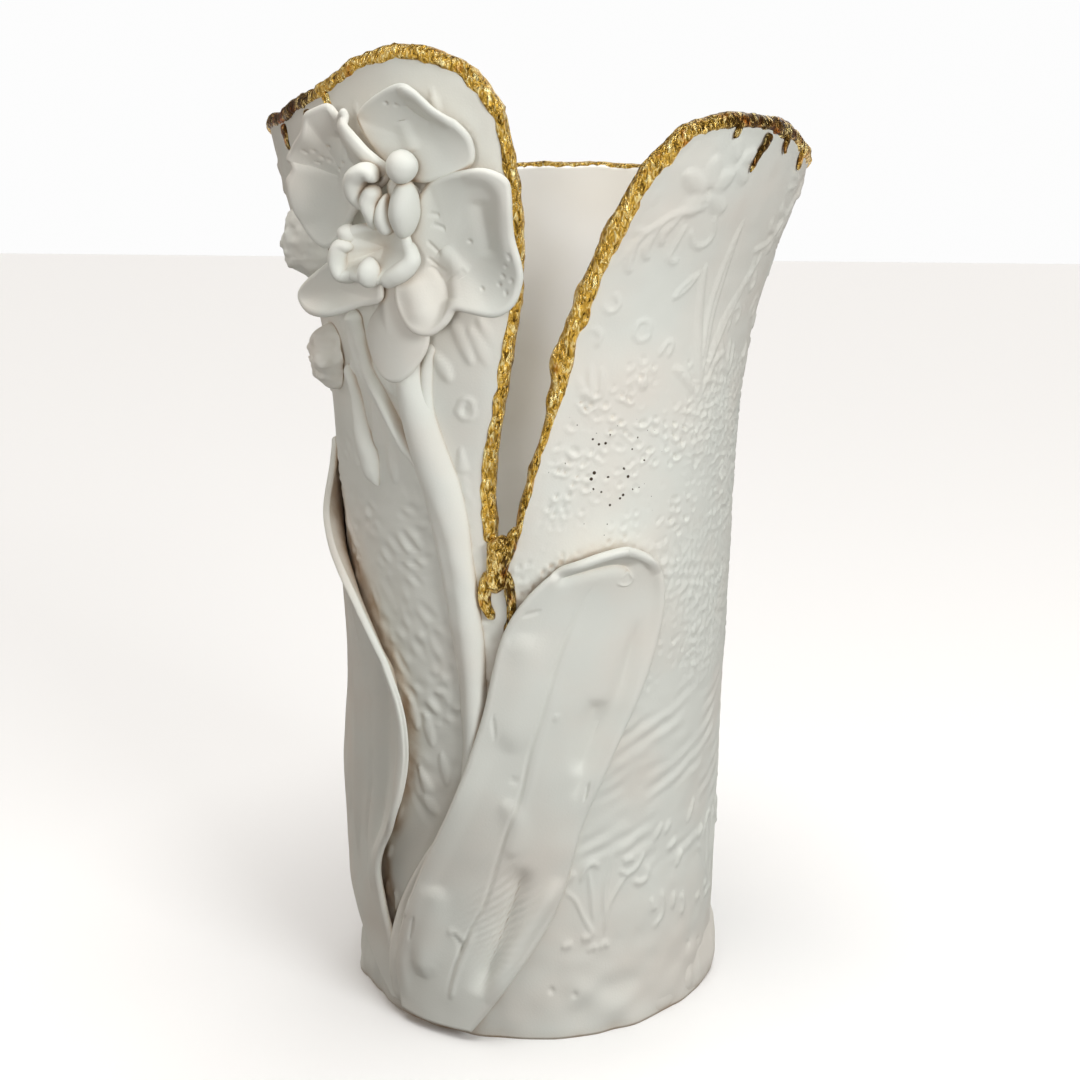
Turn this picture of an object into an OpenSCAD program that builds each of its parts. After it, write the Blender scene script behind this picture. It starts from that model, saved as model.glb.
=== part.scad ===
// Hand-built porcelain vase: a slab wall wrapped into a tall cylinder that opens
// into two flared wings with a slit between them, dressed with an orchid spray.
// +Z is up, the origin is the centre of the underside and the slit faces -Y.
// Angles are measured from -Y towards +X, in degrees; lengths are millimetres.

/* [Wall] */
// Radius of the outside of the wall at the foot
foot_r = 59.4; // [56:0.1:63]
// Thickness of the clay slab
wall_t = 4.5; // [3.5:0.1:6]
// How far the mouth flares out beyond the body
flare = 17; // [8:0.5:20]
// Height at which the flare is half grown
flare_z = 244; // [235:1:255]
// Height of the bottom of the slit
slit_z = 159; // [140:1:175]
// Half angle of the slit at its bottom
slit_half = 4; // [3.6:0.1:6]

/* [Floor and foot] */
// Thickness of the floor slab
floor_t = 6; // [4:0.5:9]
// Height of the clay band round the foot
foot_h = 18; // [12:1:24]
// Thickness of the clay band round the foot
foot_t = 1.3; // [1:0.1:3]

/* [Glaze and gilding] */
// Thickness of the clear glaze inside
glaze_t = 0.5; // [0.3:0.1:0.8]
// Height of the gilded bead on the wings
gilt_h = 3; // [2:0.1:4]
// Height of the thin gilding along the back of the rim
gilt_back_h = 1.2; // [0.8:0.1:3]

/* [Orchid and leaves] */
// Thickness of the petals and sepals
petal_t = 2.4; // [1.8:0.1:3.2]
// Thickness of the two leaves
leaf_t = 3; // [2:0.1:4]

/* [Hidden] */

bisque = "whitesmoke";
glazed = "snow";
gold = "goldenrod";

columns = 60;      // vertical columns of the wall round the vase
low_rows = 6;      // rows of the wall below the slit
high_rows = 9;     // rows of the wall beside the slit
rows = low_rows + high_rows;
bead_steps = 6;    // facets round the gilded bead
lip_over = 0.5;    // how far the gilding laps over each face of the wall
crisp = 96;        // facets hint of the round pieces

// Upper part of the slit: [height share, angle, height] up each edge of the wall
right_edge = [[0, slit_half, slit_z], [0.15, 8.5, 178], [0.36, 15, 201], [0.52, 18.5, 219],
  [0.74, 25.5, 243], [0.88, 31.5, 261], [1, 39, 273]];
left_edge = [[0, 360 - slit_half, slit_z], [0.15, 356.2, 178], [0.36, 360, 202], [0.57, 363.6, 226],
  [0.76, 365.2, 247], [0.9, 364.4, 264], [1, 362, 278]];
// The torn rim: [angle, height] from the right wing round the back to the left wing
rim = [[39, 273], [48, 275.5], [62, 274], [76, 269.5], [92, 265.5], [130, 263.5], [180, 264],
  [232, 264], [262, 269], [284, 275], [300, 276.5], [314, 279.5], [326, 285], [337, 290.5],
  [345, 293], [353, 290], [358.5, 285], [362, 278]];

// ---------- curves ----------

// Smooth curve through rows of p at position x along their first column
function curve(p, x) =
  let (
    last = len(p) - 1,
    i = max([for (k = [0:last - 1]) k == 0 || p[k][0] <= x ? k : 0]),
    a = p[max(i - 1, 0)], b = p[i], c = p[i + 1], d = p[min(i + 2, last)],
    h = c[0] - b[0], t = (x - b[0]) / h,
    m0 = (c - a) * h / (c[0] - a[0]), m1 = (d - b) * h / (d[0] - b[0])
  )
  (2*t*t*t - 3*t*t + 1) * b + (t*t*t - 2*t*t + t) * m0
    + (3*t*t - 2*t*t*t) * c + (t*t*t - t*t) * m1;

// The same curve through evenly spaced points, for s from 0 to 1
function even(p, s) =
  let (
    last = len(p) - 1, i = min(floor(s * last), last - 1), t = s * last - i,
    a = p[max(i - 1, 0)], b = p[i], c = p[i + 1], d = p[min(i + 2, last)]
  )
  0.5 * (2*b + (c - a)*t + (2*a - 5*b + 4*c - d)*t*t + (3*b - a - 3*c + d)*t*t*t);

function mix(a, b, t) = a + (b - a) * t;
function unit(v) = v / max(norm(v), 1e-6);

// ---------- the body of revolution and its frame ----------

// Outside radius of the wall: a slow swell, then a flare that is fuller on the right
function wall_r(angle, z) =
  foot_r + 0.00013 * z * z
    + flare * (0.875 + 0.125 * sin(angle)) / (1 + exp((flare_z - z) / 13));

// A point at an angle and a height, off millimetres outside the wall
function wrap(angle, z, off) =
  let (r = wall_r(angle, z) + off) [r * sin(angle), -r * cos(angle), z];
function wrap3(p) = wrap(p[0], p[1], p[2]);

// ---------- solids from points ----------

function signed_volume(p, f) =
  let (v = [for (t = f) p[t[0]] * cross(p[t[1]], p[t[2]])]) v * [for (t = f) 1];

// A closed solid whose faces are turned outwards whichever way they were listed
module solid(p, f) {
  flip = signed_volume(p, f) > 0;
  polyhedron(p, flip ? [for (t = f) [for (k = [len(t) - 1:-1:0]) t[k]]] : f);
}

function quad(a, b, c, d) = [[a, b, c], [a, c, d]];
function turned(f) = [for (t = f) [t[2], t[1], t[0]]];

// The two triangles between side j of one loop of k points and of the next,
// given the number of each loop's first point
function side_quad(first, next, j, k) =
  quad(first + j, first + (j + 1) % k, next + (j + 1) % k, next + j);

// Triangles across the loop that starts at point first, from its one half to the other
function cap(first, k) = [for (j = [0:floor(k / 2) - 2 + k % 2])
  each j == k - 2 - j ? [] : j + 1 == k - 2 - j
    ? [[first + j, first + j + 1, first + k - 1 - j]]
    : quad(first + j, first + j + 1, first + k - 2 - j, first + k - 1 - j)];

// A solid skinned over closed loops of equal length, with its two ends capped
module loft(loops) {
  n = len(loops);
  k = len(loops[0]);
  solid([for (l = loops) each l], concat(
    [for (s = [0:n - 2], j = [0:k - 1]) each side_quad(s*k, (s + 1)*k, j, k)],
    cap((n - 1)*k, k), turned(cap(0, k))));
}

// A bent sheet of clay. left, mid and right are rows of [angle, height, off] along it.
module sheet(left, mid, right, thick, along, across = 6) {
  loft([for (j = [0:along])
    let (l = even(left, j / along), m = even(mid, j / along), r = even(right, j / along),
      row = [for (i = [0:across]) let (c = 2 * i / across - 1)
        c < 0 ? mix(m, l, -c) : mix(m, r, c)])
    concat([for (q = row) wrap(q[0], q[1], q[2] + thick)],
      [for (i = [across:-1:0]) wrap3(row[i])])]);
}

// A rolled strip of clay with a flat back.
// path is rows of [angle, height, off, width, depth] along it.
module strip(path, along, facets = 6) {
  loft([for (j = [0:along])
    let (
      p = even(path, j / along),
      ahead = wrap3(even(path, min(j / along + 0.01, 1))),
      behind = wrap3(even(path, max(j / along - 0.01, 0))),
      out = unit([sin(p[0]), -cos(p[0]), 0]),
      side = unit(cross(unit(ahead - behind), out)),
      centre = wrap3(p)
    )
    [for (k = [0:facets]) let (a = 180 * k / facets)
      centre + side * p[3] / 2 * cos(a) + out * p[4] * sin(a)]]);
}

// A flat-backed blob: a strip that starts and ends in a rounded point
function blob(a, b, w, d) = [for (t = [-0.98, -0.8, -0.45, 0, 0.45, 0.8, 0.98])
  let (s = sqrt(1 - t*t), q = mix(a, b, (t + 1) / 2)) [q[0], q[1], q[2], w * s, d * s]];

// ---------- the wall ----------

// Angle and height of wall column i and row j: rings below the slit, and above it
// a patch stretched between the two edges of the slit and the torn rim
function wall_at(i, j) =
  let (
    u = i / columns, v = (j - low_rows) / high_rows,
    ring = [mix(slit_half, 360 - slit_half, u), slit_z]
  )
  j <= low_rows ? [ring[0], slit_z * j / low_rows] :
  let (
    right = curve(right_edge, v), left = curve(left_edge, v),
    right_top = right_edge[len(right_edge) - 1], left_top = left_edge[len(left_edge) - 1],
    rim_angle = mix(right_top[1], left_top[1], u),
    across = mix([right[1], right[2]], [left[1], left[2]], u),
    upward = mix(ring, [rim_angle, curve(rim, rim_angle)[1]], v),
    corners = mix(ring, [rim_angle, mix(right_top[2], left_top[2], u)], v)
  )
  across + upward - corners;

function wall_point(i, j, off) = let (q = wall_at(i, j)) wrap(q[0], q[1], off);

// One loop for each column, up the skin at depth out and down the skin at depth in.
// The lowest ring of each skin lies at its own height.
function skin(out, in, out_z, in_z) = [for (i = [0:columns]) concat(
  [for (j = [0:rows]) let (p = wall_point(i, j, out)) j == 0 ? [p[0], p[1], out_z] : p],
  [for (j = [rows:-1:0]) let (p = wall_point(i, j, in)) j == 0 ? [p[0], p[1], in_z] : p])];

// Joins a skin's loops, closes it across the front below the slit, and leaves it open
// underneath or, for a cup, closes each skin with its own floor.
module wrapped(loops, cup) {
  k = 2 * (rows + 1);
  end = columns * k;
  in_low = k - 1 - low_rows;
  walls = cup ? k - 2 : k - 1;
  round = [for (s = [0:columns - 1], j = [0:walls]) side_quad(s*k, (s + 1)*k, j, k)];
  front = [for (j = [0:walls]) if (j < low_rows || j >= in_low) side_quad(end, 0, j, k)];
  ledge = quad(low_rows, end + low_rows, end + in_low, in_low);
  edge = [for (j = [low_rows:rows - 1]) each quad(j, j + 1, k - 2 - j, k - 1 - j)];
  floors = [[for (s = [0:columns]) s*k], [for (s = [columns:-1:0]) s*k + k - 1]];
  solid([for (l = loops) each l], concat(
    [for (q = round) each q], [for (q = front) each q], ledge,
    turned(edge), [for (t = edge) t + [end, end, end]], cup ? floors : []));
}

module body_wall() {
  color(bisque) wrapped(skin(0, -wall_t, 0, 0), false);
}

module glaze_lining() {
  color(glazed)
    wrapped(skin(-wall_t, -wall_t - glaze_t, floor_t, floor_t + glaze_t), true);
}

module floor_disc() {
  color(bisque) cylinder(r = foot_r - wall_t - 0.1, h = floor_t, $fn = crisp);
}

module foot_band() {
  color(bisque) rotate_extrude($fn = crisp) translate([foot_r, 0])
    polygon([[0, 0], [foot_t, 0], [foot_t, foot_h * 0.7], [foot_t * 0.5, foot_h * 0.93],
      [0, foot_h]]);
}

// ---------- gilding ----------

// The wall's open edge as [column, row] stations: up the right side of the slit,
// round the rim and down the left side
open_edge = concat(
  [for (j = [low_rows:rows]) [0, j]],
  [for (i = [1:columns]) [i, rows]],
  [for (j = [rows - 1:-1:low_rows]) [columns, j]]);
back_from = high_rows + 16; // station where the thin gilding of the back starts
back_to = high_rows + 44;   // and where it ends

function gilt_height(angle) = lookup(angle,
  [[80, gilt_h], [105, gilt_back_h], [250, gilt_back_h], [270, gilt_h]]);

// A half-round bead along the open edge from one station to another
module bead(from, to) {
  last = len(open_edge) - 1;
  color(gold) loft([for (s = [from:to])
    let (
      at = open_edge[s], ahead = open_edge[min(s + 1, last)], behind = open_edge[max(s - 1, 0)],
      out = wall_point(at[0], at[1], lip_over),
      in = wall_point(at[0], at[1], -wall_t - lip_over),
      along = wall_point(ahead[0], ahead[1], 0) - wall_point(behind[0], behind[1], 0),
      off = unit(cross(out - in, along)) * gilt_height(wall_at(at[0], at[1])[0])
    )
    [for (k = [0:bead_steps]) let (a = 180 * k / bead_steps)
      mix(out, in, (1 - cos(a)) / 2) + off * sin(a)]]);
}

module gilt_rim_right() { bead(0, back_from); }
module gilt_rim_back() { bead(back_from, back_to); }
module gilt_rim_left() { bead(back_to, len(open_edge) - 1); }

// The gold pools over the foot of the slit and runs down in two prongs
module gilt_seam() {
  color(gold) {
    strip([[0, 166, -1, 5, 3], [-0.3, 161, 0, 8, 3.4], [-1, 155, 0, 8.4, 3.2],
      [-1.2, 149, 0, 7, 3], [-1.5, 146, 0, 7, 2.2]], 8);
    strip([[-2.8, 150, 0, 3.4, 2.6], [-4.6, 144, 0, 3, 2.6], [-3.8, 139, 0, 3, 2.4],
      [-1.4, 135, 0, 2, 1.4]], 6);
    strip([[0.2, 150, 0, 3.4, 2.6], [2.4, 144, 0, 2.8, 2.6], [2.6, 138, 0, 2.6, 2.2],
      [1, 132, 0, 2, 1.2]], 6);
  }
}

// ---------- leaves ----------

module leaf_right() {
  color(bisque) sheet(
    [[-33, 4, 2.2], [-34, 22, 2.6], [-25, 50, 4.5], [-13, 79, 5], [-5, 106, 3], [1, 133, 2.2],
      [11, 149, 3.4], [23, 156, 4.2]],
    [[-22, 3, 2.2], [-14, 22, 2], [-6, 47, 1], [5, 73, 0.6], [10, 98, 0.2], [17, 122, 0],
      [25, 143, 0], [31, 153, 2.4]],
    [[-9, 3, 2.2], [1, 19, 1.8], [15, 44, 0], [22, 70, 0], [30, 92, 0], [40, 117, 0],
      [44, 140, 0.5], [39, 154, 2]],
    leaf_t, 16, 8);
}

module leaf_left() {
  color(bisque) sheet(
    [[-38, 5, 1.6], [-58, 24, 1.6], [-78, 44, 2.4], [-86, 72, 3.4], [-88, 103, 0], [-88, 135, 0],
      [-86, 160, 0.6], [-80, 180, 0]],
    [[-35, 5, 1.6], [-46, 26, 1.6], [-54, 50, 1], [-46, 78, 0], [-44, 105, 0],
      [-58, 136, 0], [-76, 160, 0.6], [-78, 180, 0]],
    [[-33, 5, 1.6], [-37, 26, 2.5], [-41, 50, 3.5], [-29.5, 76, 3.5], [-28, 105, 3],
      [-42, 134, 3], [-67, 158, 2.4], [-75, 180, 1]],
    leaf_t - 0.6, 16, 8);
}

// ---------- stems and buds ----------

module stem_main() {
  color(bisque) strip(
    [[-34, 4, 1.3, 9, 3], [-35, 20, 1.2, 10, 4], [-31, 37, 0, 11, 4], [-21, 56, 0, 9, 4],
      [-11.5, 74, 0, 6, 4], [-8.5, 95, 0, 7, 4.5], [-8.5, 118, 0, 9, 4.5],
      [-10.8, 142, 0, 10.5, 4.5], [-14.5, 168, 0, 12, 5], [-20.5, 190, 0, 11, 5.5],
      [-23, 206, 0, 9, 6], [-21.5, 222, 0, 8, 7]],
    24, 8);
}

module stem_side() {
  color(bisque) strip(
    [[-15.5, 214, 0, 2.5, 1.6], [-17, 202, 0, 3, 2], [-15.5, 191, 0, 3.6, 2.2],
      [-10.5, 181, 0, 3.6, 2], [-7.5, 172, 0, 2.4, 1.2]],
    12);
}

module flower_stalk() {
  color(bisque) strip(
    [[-41, 224, 0, 6, 3.5], [-40, 210, 0, 6, 4], [-34.5, 200, 0, 5, 3.6],
      [-27, 188, 0, 4, 3], [-21.5, 177, 0, 2.6, 1.6]],
    12);
}

module bud_stalk() {
  color(bisque) strip(
    [[-49, 207, 0, 3, 2], [-45, 199, 0, 3.4, 2.6], [-43.5, 190, 0, 5.5, 3.4],
      [-41.5, 182, 0, 8, 4], [-40, 176, 0, 6, 3], [-38.5, 172, 0, 2, 1.4]],
    12);
}

module bud_upper() {
  color(bisque) strip(blob([-55, 232, 0], [-52, 255, 0], 21, 10.5), 12, 8);
}

module bud_lower() {
  color(bisque) strip(blob([-61.5, 198, 0], [-59, 219, 0], 16, 8.5), 12, 8);
}

// ---------- orchid ----------

// The wad of clay that holds the flower against the wing
module flower_pad() {
  color(bisque) strip(blob([-18, 236, 0], [-16, 260, 0], 15, 10), 8);
}

module sepal_top() {
  color(bisque) sheet(
    [[-16, 255, 7], [-20, 265, 6], [-22, 275, 7], [-16, 283.5, 8]],
    [[-13, 255, 6], [-12, 265, 4], [-11.5, 276, 4], [-11.5, 285, 7]],
    [[-10, 255, 7], [-2.5, 263, 6], [-1, 271, 8], [-7, 282, 9]],
    petal_t, 8);
}

module petal_left() {
  color(bisque) sheet(
    [[-18, 258, 8], [-21.5, 268, 9], [-26, 279, 11], [-32.5, 275, 12], [-38, 264, 11]],
    [[-18, 255, 7], [-24, 258, 4], [-30, 261, 3], [-35, 261, 5], [-39, 259, 9]],
    [[-18, 252, 7], [-25, 245, 6], [-32, 240, 8], [-36.5, 246, 9], [-38.5, 255, 9]],
    petal_t, 10);
}

module petal_right() {
  color(bisque) sheet(
    [[-13, 252, 8], [-8, 260, 7], [-1, 263.5, 8], [5, 261, 9], [6.5, 250, 8]],
    [[-14, 247, 7], [-8, 245, 4], [-2, 242, 3], [3, 239, 4], [6.5, 239, 7]],
    [[-15, 243, 8], [-20, 233, 8], [-15, 220, 9], [-5, 225, 7], [5, 229, 8]],
    petal_t, 10, 8);
}

module sepal_left() {
  color(bisque) sheet(
    [[-20, 239, 10], [-28, 240, 10], [-36, 240, 11], [-42.5, 234, 12]],
    [[-20, 236, 8], [-28, 234, 7], [-36, 231, 8], [-43.5, 229, 11]],
    [[-20, 233, 10], [-27, 227, 10], [-34.5, 223, 11], [-41.5, 224.5, 12]],
    petal_t, 8);
}

module sepal_bottom() {
  color(bisque) sheet(
    [[-22, 236, 5], [-27.5, 226, 6], [-28, 214, 6], [-23.5, 205.5, 4]],
    [[-20, 236, 4], [-21, 226, 5], [-21, 214, 5], [-20.5, 204, 3]],
    [[-18, 236, 5], [-14, 226, 6], [-13.5, 214, 6], [-17.5, 205.5, 4]],
    petal_t, 8);
}

module orchid_lip() {
  color(bisque) sheet(
    [[-21, 248, 14], [-25.5, 247, 17], [-27, 241, 19], [-24.5, 235, 20]],
    [[-17, 248, 10], [-19.5, 243, 13], [-21, 239, 15], [-22, 234, 18]],
    [[-12, 247, 13], [-12, 242, 16], [-15, 238, 18], [-19, 233.5, 19]],
    petal_t, 8);
}

module lip_callus() {
  color(bisque) {
    strip(blob([-25.5, 235.5, 19], [-25.5, 244, 19], 7, 5), 8);
    strip(blob([-21.5, 232.5, 18], [-20.5, 241, 18], 7.5, 6), 8);
    strip(blob([-18, 235.5, 18], [-12, 243, 16], 6, 4), 8);
  }
}

module side_lobes() {
  color(bisque) {
    strip(blob([-18.5, 255, 14], [-17, 266, 14], 8, 7), 8);
    strip(blob([-16, 249, 15], [-18, 259, 15], 4.5, 5), 8);
    strip(blob([-13.5, 249, 15], [-14, 257, 15], 3.6, 4), 8);
  }
}

module column() {
  color(bisque) strip(blob([-10.5, 246, 11], [-10.5, 261, 11], 7.5, 9), 10, 8);
}

module pollen_cap() {
  color(bisque) strip(blob([-10, 260.5, 12], [-10, 269, 12], 8.2, 9), 10, 8);
}

body_wall();
floor_disc();
foot_band();
glaze_lining();
gilt_rim_left();
gilt_rim_back();
gilt_rim_right();
gilt_seam();
leaf_left();
leaf_right();
stem_main();
stem_side();
flower_stalk();
bud_stalk();
bud_upper();
bud_lower();
flower_pad();
sepal_top();
sepal_left();
sepal_bottom();
petal_left();
petal_right();
orchid_lip();
lip_callus();
side_lobes();
column();
pollen_cap();
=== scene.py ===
"""Hand-built porcelain vase with a torn gilded rim, two leaves and a spray of orchid.

A clay slab, rolled over carved texture mats, is wrapped into a tall cylinder that
opens into two flared wings. Shapes are worked out in millimetres: an angle is in
degrees from -Y towards +X, a height is above the underside, and an offset is how far
a point stands outside the wall.
"""
import math

import bpy
import numpy as np
from bpy.props import FloatProperty, FloatVectorProperty, PointerProperty
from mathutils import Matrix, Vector


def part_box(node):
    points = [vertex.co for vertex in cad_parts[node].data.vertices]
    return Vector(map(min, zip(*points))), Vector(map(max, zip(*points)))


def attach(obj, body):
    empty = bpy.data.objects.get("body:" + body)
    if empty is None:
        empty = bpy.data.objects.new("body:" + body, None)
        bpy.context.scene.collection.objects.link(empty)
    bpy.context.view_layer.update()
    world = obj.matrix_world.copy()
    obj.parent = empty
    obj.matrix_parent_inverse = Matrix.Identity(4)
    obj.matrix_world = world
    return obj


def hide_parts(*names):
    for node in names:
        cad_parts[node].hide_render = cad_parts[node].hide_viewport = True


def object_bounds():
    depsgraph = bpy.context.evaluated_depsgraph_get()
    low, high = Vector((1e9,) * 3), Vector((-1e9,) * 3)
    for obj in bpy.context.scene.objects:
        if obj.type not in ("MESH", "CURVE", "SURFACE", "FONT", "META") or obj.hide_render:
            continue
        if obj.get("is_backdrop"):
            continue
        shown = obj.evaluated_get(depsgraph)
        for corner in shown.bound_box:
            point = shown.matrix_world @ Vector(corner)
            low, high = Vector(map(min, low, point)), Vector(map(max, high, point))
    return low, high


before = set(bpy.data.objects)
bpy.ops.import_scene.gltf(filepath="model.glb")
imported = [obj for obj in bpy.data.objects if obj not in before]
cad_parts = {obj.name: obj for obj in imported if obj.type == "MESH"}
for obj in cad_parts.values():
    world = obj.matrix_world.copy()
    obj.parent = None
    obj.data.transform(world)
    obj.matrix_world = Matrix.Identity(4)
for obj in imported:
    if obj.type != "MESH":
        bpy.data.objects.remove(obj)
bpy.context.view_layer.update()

bl_info = {
    "name": "Hand-built Porcelain Vase",
    "version": (1, 0, 0),
    "blender": (4, 5, 0),
    "location": "View3D > Sidebar > Vase",
    "description": "Builds a torn, gilded porcelain vase dressed with an orchid and two leaves",
    "category": "Add Mesh",
}

MM = 0.001
BODY = "root"
FLOOR_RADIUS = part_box("floor_disc")[1][0]
WALL_THICKNESS = 0.0045
FOOT_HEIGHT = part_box("foot_band")[1][2]

# The wall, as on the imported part: lines of [share, angle, height] up each edge of the
# slit, and of [angle, height] along the rim from the right wing round to the left one.
RIGHT_EDGE = [[0, 4, 159], [0.15, 8.5, 178], [0.36, 15, 201], [0.52, 18.5, 219],
              [0.74, 25.5, 243], [0.88, 31.5, 261], [1, 39, 273]]
LEFT_EDGE = [[0, 356, 159], [0.15, 356.2, 178], [0.36, 360, 202], [0.57, 363.6, 226],
             [0.76, 365.2, 247], [0.9, 364.4, 264], [1, 362, 278]]
RIM = [[39, 273], [48, 275.5], [62, 274], [76, 269.5], [92, 265.5], [130, 263.5],
       [180, 264], [232, 264], [262, 269], [284, 275], [300, 276.5], [314, 279.5],
       [326, 285], [337, 290.5], [345, 293], [353, 290], [358.5, 285], [362, 278]]
SLIT_FOOT = (4, 356)    # angles of the right and left side of the foot of the slit
WING_WIDTH = 370        # millimetres along the rim from one edge of the slit to the other
WING_HEIGHT = 118       # millimetres from the foot of the slit to the rim
SWELL = 0.00013         # how much the radius grows, per square of the height in millimetres
FLARE_SOFTNESS = 13     # millimetres over which the flare sets in


# ---------- sizes and colours ----------

def linear(hex_colour):
    """The linear RGB of an sRGB colour written as six hex digits."""
    channels = [int(hex_colour[at:at + 2], 16) / 255 for at in (1, 3, 5)]
    return [c / 12.92 if c <= 0.04045 else ((c + 0.055) / 1.055) ** 2.4 for c in channels]


def length(name, default, description, **limits):
    """A property that holds a length in metres."""
    return FloatProperty(name=name, description=description, default=default,
                         unit="LENGTH", precision=5, **limits)


def colour(name, default, description):
    """A property that holds a colour, given as sRGB hex."""
    return FloatVectorProperty(name=name, description=description, default=linear(default),
                               subtype="COLOR", min=0, max=1)


class VaseSizes(bpy.types.PropertyGroup):
    """Sizes of the vase that a potter would choose."""

    wall: length("Wall", WALL_THICKNESS, "Thickness of the clay slab", min=0.0035, max=0.006)
    foot_radius: length("Foot radius", FLOOR_RADIUS + WALL_THICKNESS + 0.0001,
                        "Outside radius of the wall at the foot", min=0.05, max=0.07)
    flare: length("Flare", 0.017, "How far the mouth opens beyond the body", min=0.008, max=0.02)
    flare_height: length("Flare height", 0.244, "Height at which half the flare is reached")
    slit_height: length("Slit height", 0.159, "Height of the foot of the slit")
    floor: length("Floor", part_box("floor_disc")[1][2], "Thickness of the floor slab")
    relief: length("Relief", 0.00085, "Depth of the pressed texture", min=0, max=0.002)
    glaze: length("Glaze", 0.0005, "Thickness of the clear glaze inside", min=0.0002)
    gilt: length("Gilding", 0.003, "Height of the gilded bead on the wings", min=0.001)
    gilt_back: length("Back gilding", 0.0012, "Height of the gilding along the back of the rim")
    petal: length("Petal", 0.0024, "Thickness of the petals", min=0.001)
    leaf: length("Leaf", 0.003, "Thickness of the leaves", min=0.001)


class VaseColours(bpy.types.PropertyGroup):
    """Colours of the vase and of its stage."""

    clay: colour("Clay", "#E5E7E0", "Fired porcelain, matt and a little cool")
    clay_warm: colour("Warm clay", "#E7E3DA", "Porcelain where the fire has warmed it")
    # Brown laid into hollows: partly a real stain, partly painted shade under petals, leaves and between
    # parts.
    wash_and_shade: colour("Wash", "#A98A66", "Stain left in hollows and under the petals")
    # Painted shade of the pinholes, which the mesh does not sink.
    pinhole_shade: colour("Pits", "#3E3226", "Grime in the pinholes")
    glaze: colour("Glazed clay", "#F1F0EC", "Porcelain seen through clear glaze")
    gold: colour("Gold", "#CDA345", "Fired gold lustre")
    # Painted highlight on the crests of the gold's crinkles.
    gold_highlight: colour("Pale gold", "#F6E6A8", "Lustre where it lies thin over a ridge")
    gold_amber: colour("Amber", "#B4620F", "Lustre that pooled and fired too thick")
    # Painted shade in the valleys of the gold's crinkles, and the real dark of lustre that pooled thick.
    gold_shade_and_burn: colour("Burnt gold", "#2E1A0A", "Lustre burnt in the pits")
    stage: colour("Stage", "#FBFBFB", "The pale floor")


def mm(name):
    """A size of the vase in millimetres."""
    return getattr(bpy.context.scene.vase_sizes, name) / MM


# ---------- curves and noise ----------

def mix(low, high, share):
    """The value a share of the way from low to high."""
    return low + (high - low) * share


def smooth(low, high, value):
    """0 below low, 1 above high and a soft step between."""
    share = np.clip((np.asarray(value, float) - low) / (high - low), 0, 1)
    return share * share * (3 - 2 * share)


def crowded(count):
    """Shares from 0 to 1 that crowd towards both ends."""
    return (1 - np.cos(np.linspace(0, math.pi, count))) / 2


def hermite(a, b, c, d, share):
    """Points of the smooth curve between b and c."""
    return 0.5 * (2 * b + (c - a) * share + (2 * a - 5 * b + 4 * c - d) * share ** 2
                  + (3 * b - a - 3 * c + d) * share ** 3)


def even(rows, share, closed=False):
    """The smooth curve through evenly spaced rows, at shares of it from 0 to 1."""
    rows = np.asarray(rows, float)
    count = len(rows)
    last = count if closed else count - 1
    place = np.clip(np.asarray(share, float), 0, 1) * last
    first = np.minimum(place.astype(int), last - 1)
    near = [first - 1, first, first + 1, first + 2]
    near = [n % count if closed else np.clip(n, 0, last) for n in near]
    return hermite(*[rows[n] for n in near], (place - first)[..., None])


def curve(rows, x):
    """The smooth curve through rows, at x along their first column."""
    rows = np.asarray(rows, float)
    last = len(rows) - 1
    x = np.asarray(x, float)
    i = np.clip(np.searchsorted(rows[:, 0], x, side="right") - 1, 0, last - 1)
    a, b, c, d = [rows[np.clip(i + step, 0, last)] for step in (-1, 0, 1, 2)]
    gap = (c[..., 0] - b[..., 0])[..., None]
    t = (x[..., None] - b[..., :1]) / gap
    leave = (c - a) * gap / (c[..., :1] - a[..., :1])
    arrive = (d - b) * gap / (d[..., :1] - b[..., :1])
    return ((2 * t ** 3 - 3 * t ** 2 + 1) * b + (t ** 3 - 2 * t ** 2 + t) * leave
            + (3 * t ** 2 - 2 * t ** 3) * c + (t ** 3 - t ** 2) * arrive)


def scatter(i, j, k, seed):
    """A fixed random number from -1 to 1 for each corner of a lattice."""
    i, j, k = [np.asarray(n).astype(np.int64).astype(np.uint64) for n in (i, j, k)]
    h = i * np.uint64(73856093) ^ j * np.uint64(19349663) ^ k * np.uint64(83492791)
    h = (h ^ np.uint64(seed * 2654435761)) & np.uint64(0xFFFFFFFF)
    for factor in (2246822519, 3266489917):
        h = ((h ^ (h >> np.uint64(15))) * np.uint64(factor)) & np.uint64(0xFFFFFFFF)
    return (h >> np.uint64(8)).astype(float) / 0x7FFFFF - 1


def noise(points, wavelength, seed):
    """Smooth noise from -1 to 1 at points, for a wavelength in their own units."""
    place = np.asarray(points, float) / wavelength
    corner = np.floor(place)
    share = place - corner
    share = share * share * (3 - 2 * share)
    total = 0
    for step in np.ndindex(2, 2, 2):
        weight = np.prod(np.where(step, share, 1 - share), axis=-1)
        total = total + weight * scatter(*[corner[..., n] + step[n] for n in range(3)], seed)
    return total


def wobble(x, wavelength, seed):
    """Smooth noise along a line."""
    x = np.asarray(x, float)
    return noise(np.stack([x, x * 0 + 0.37 * wavelength, x * 0], -1), wavelength, seed)


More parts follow.
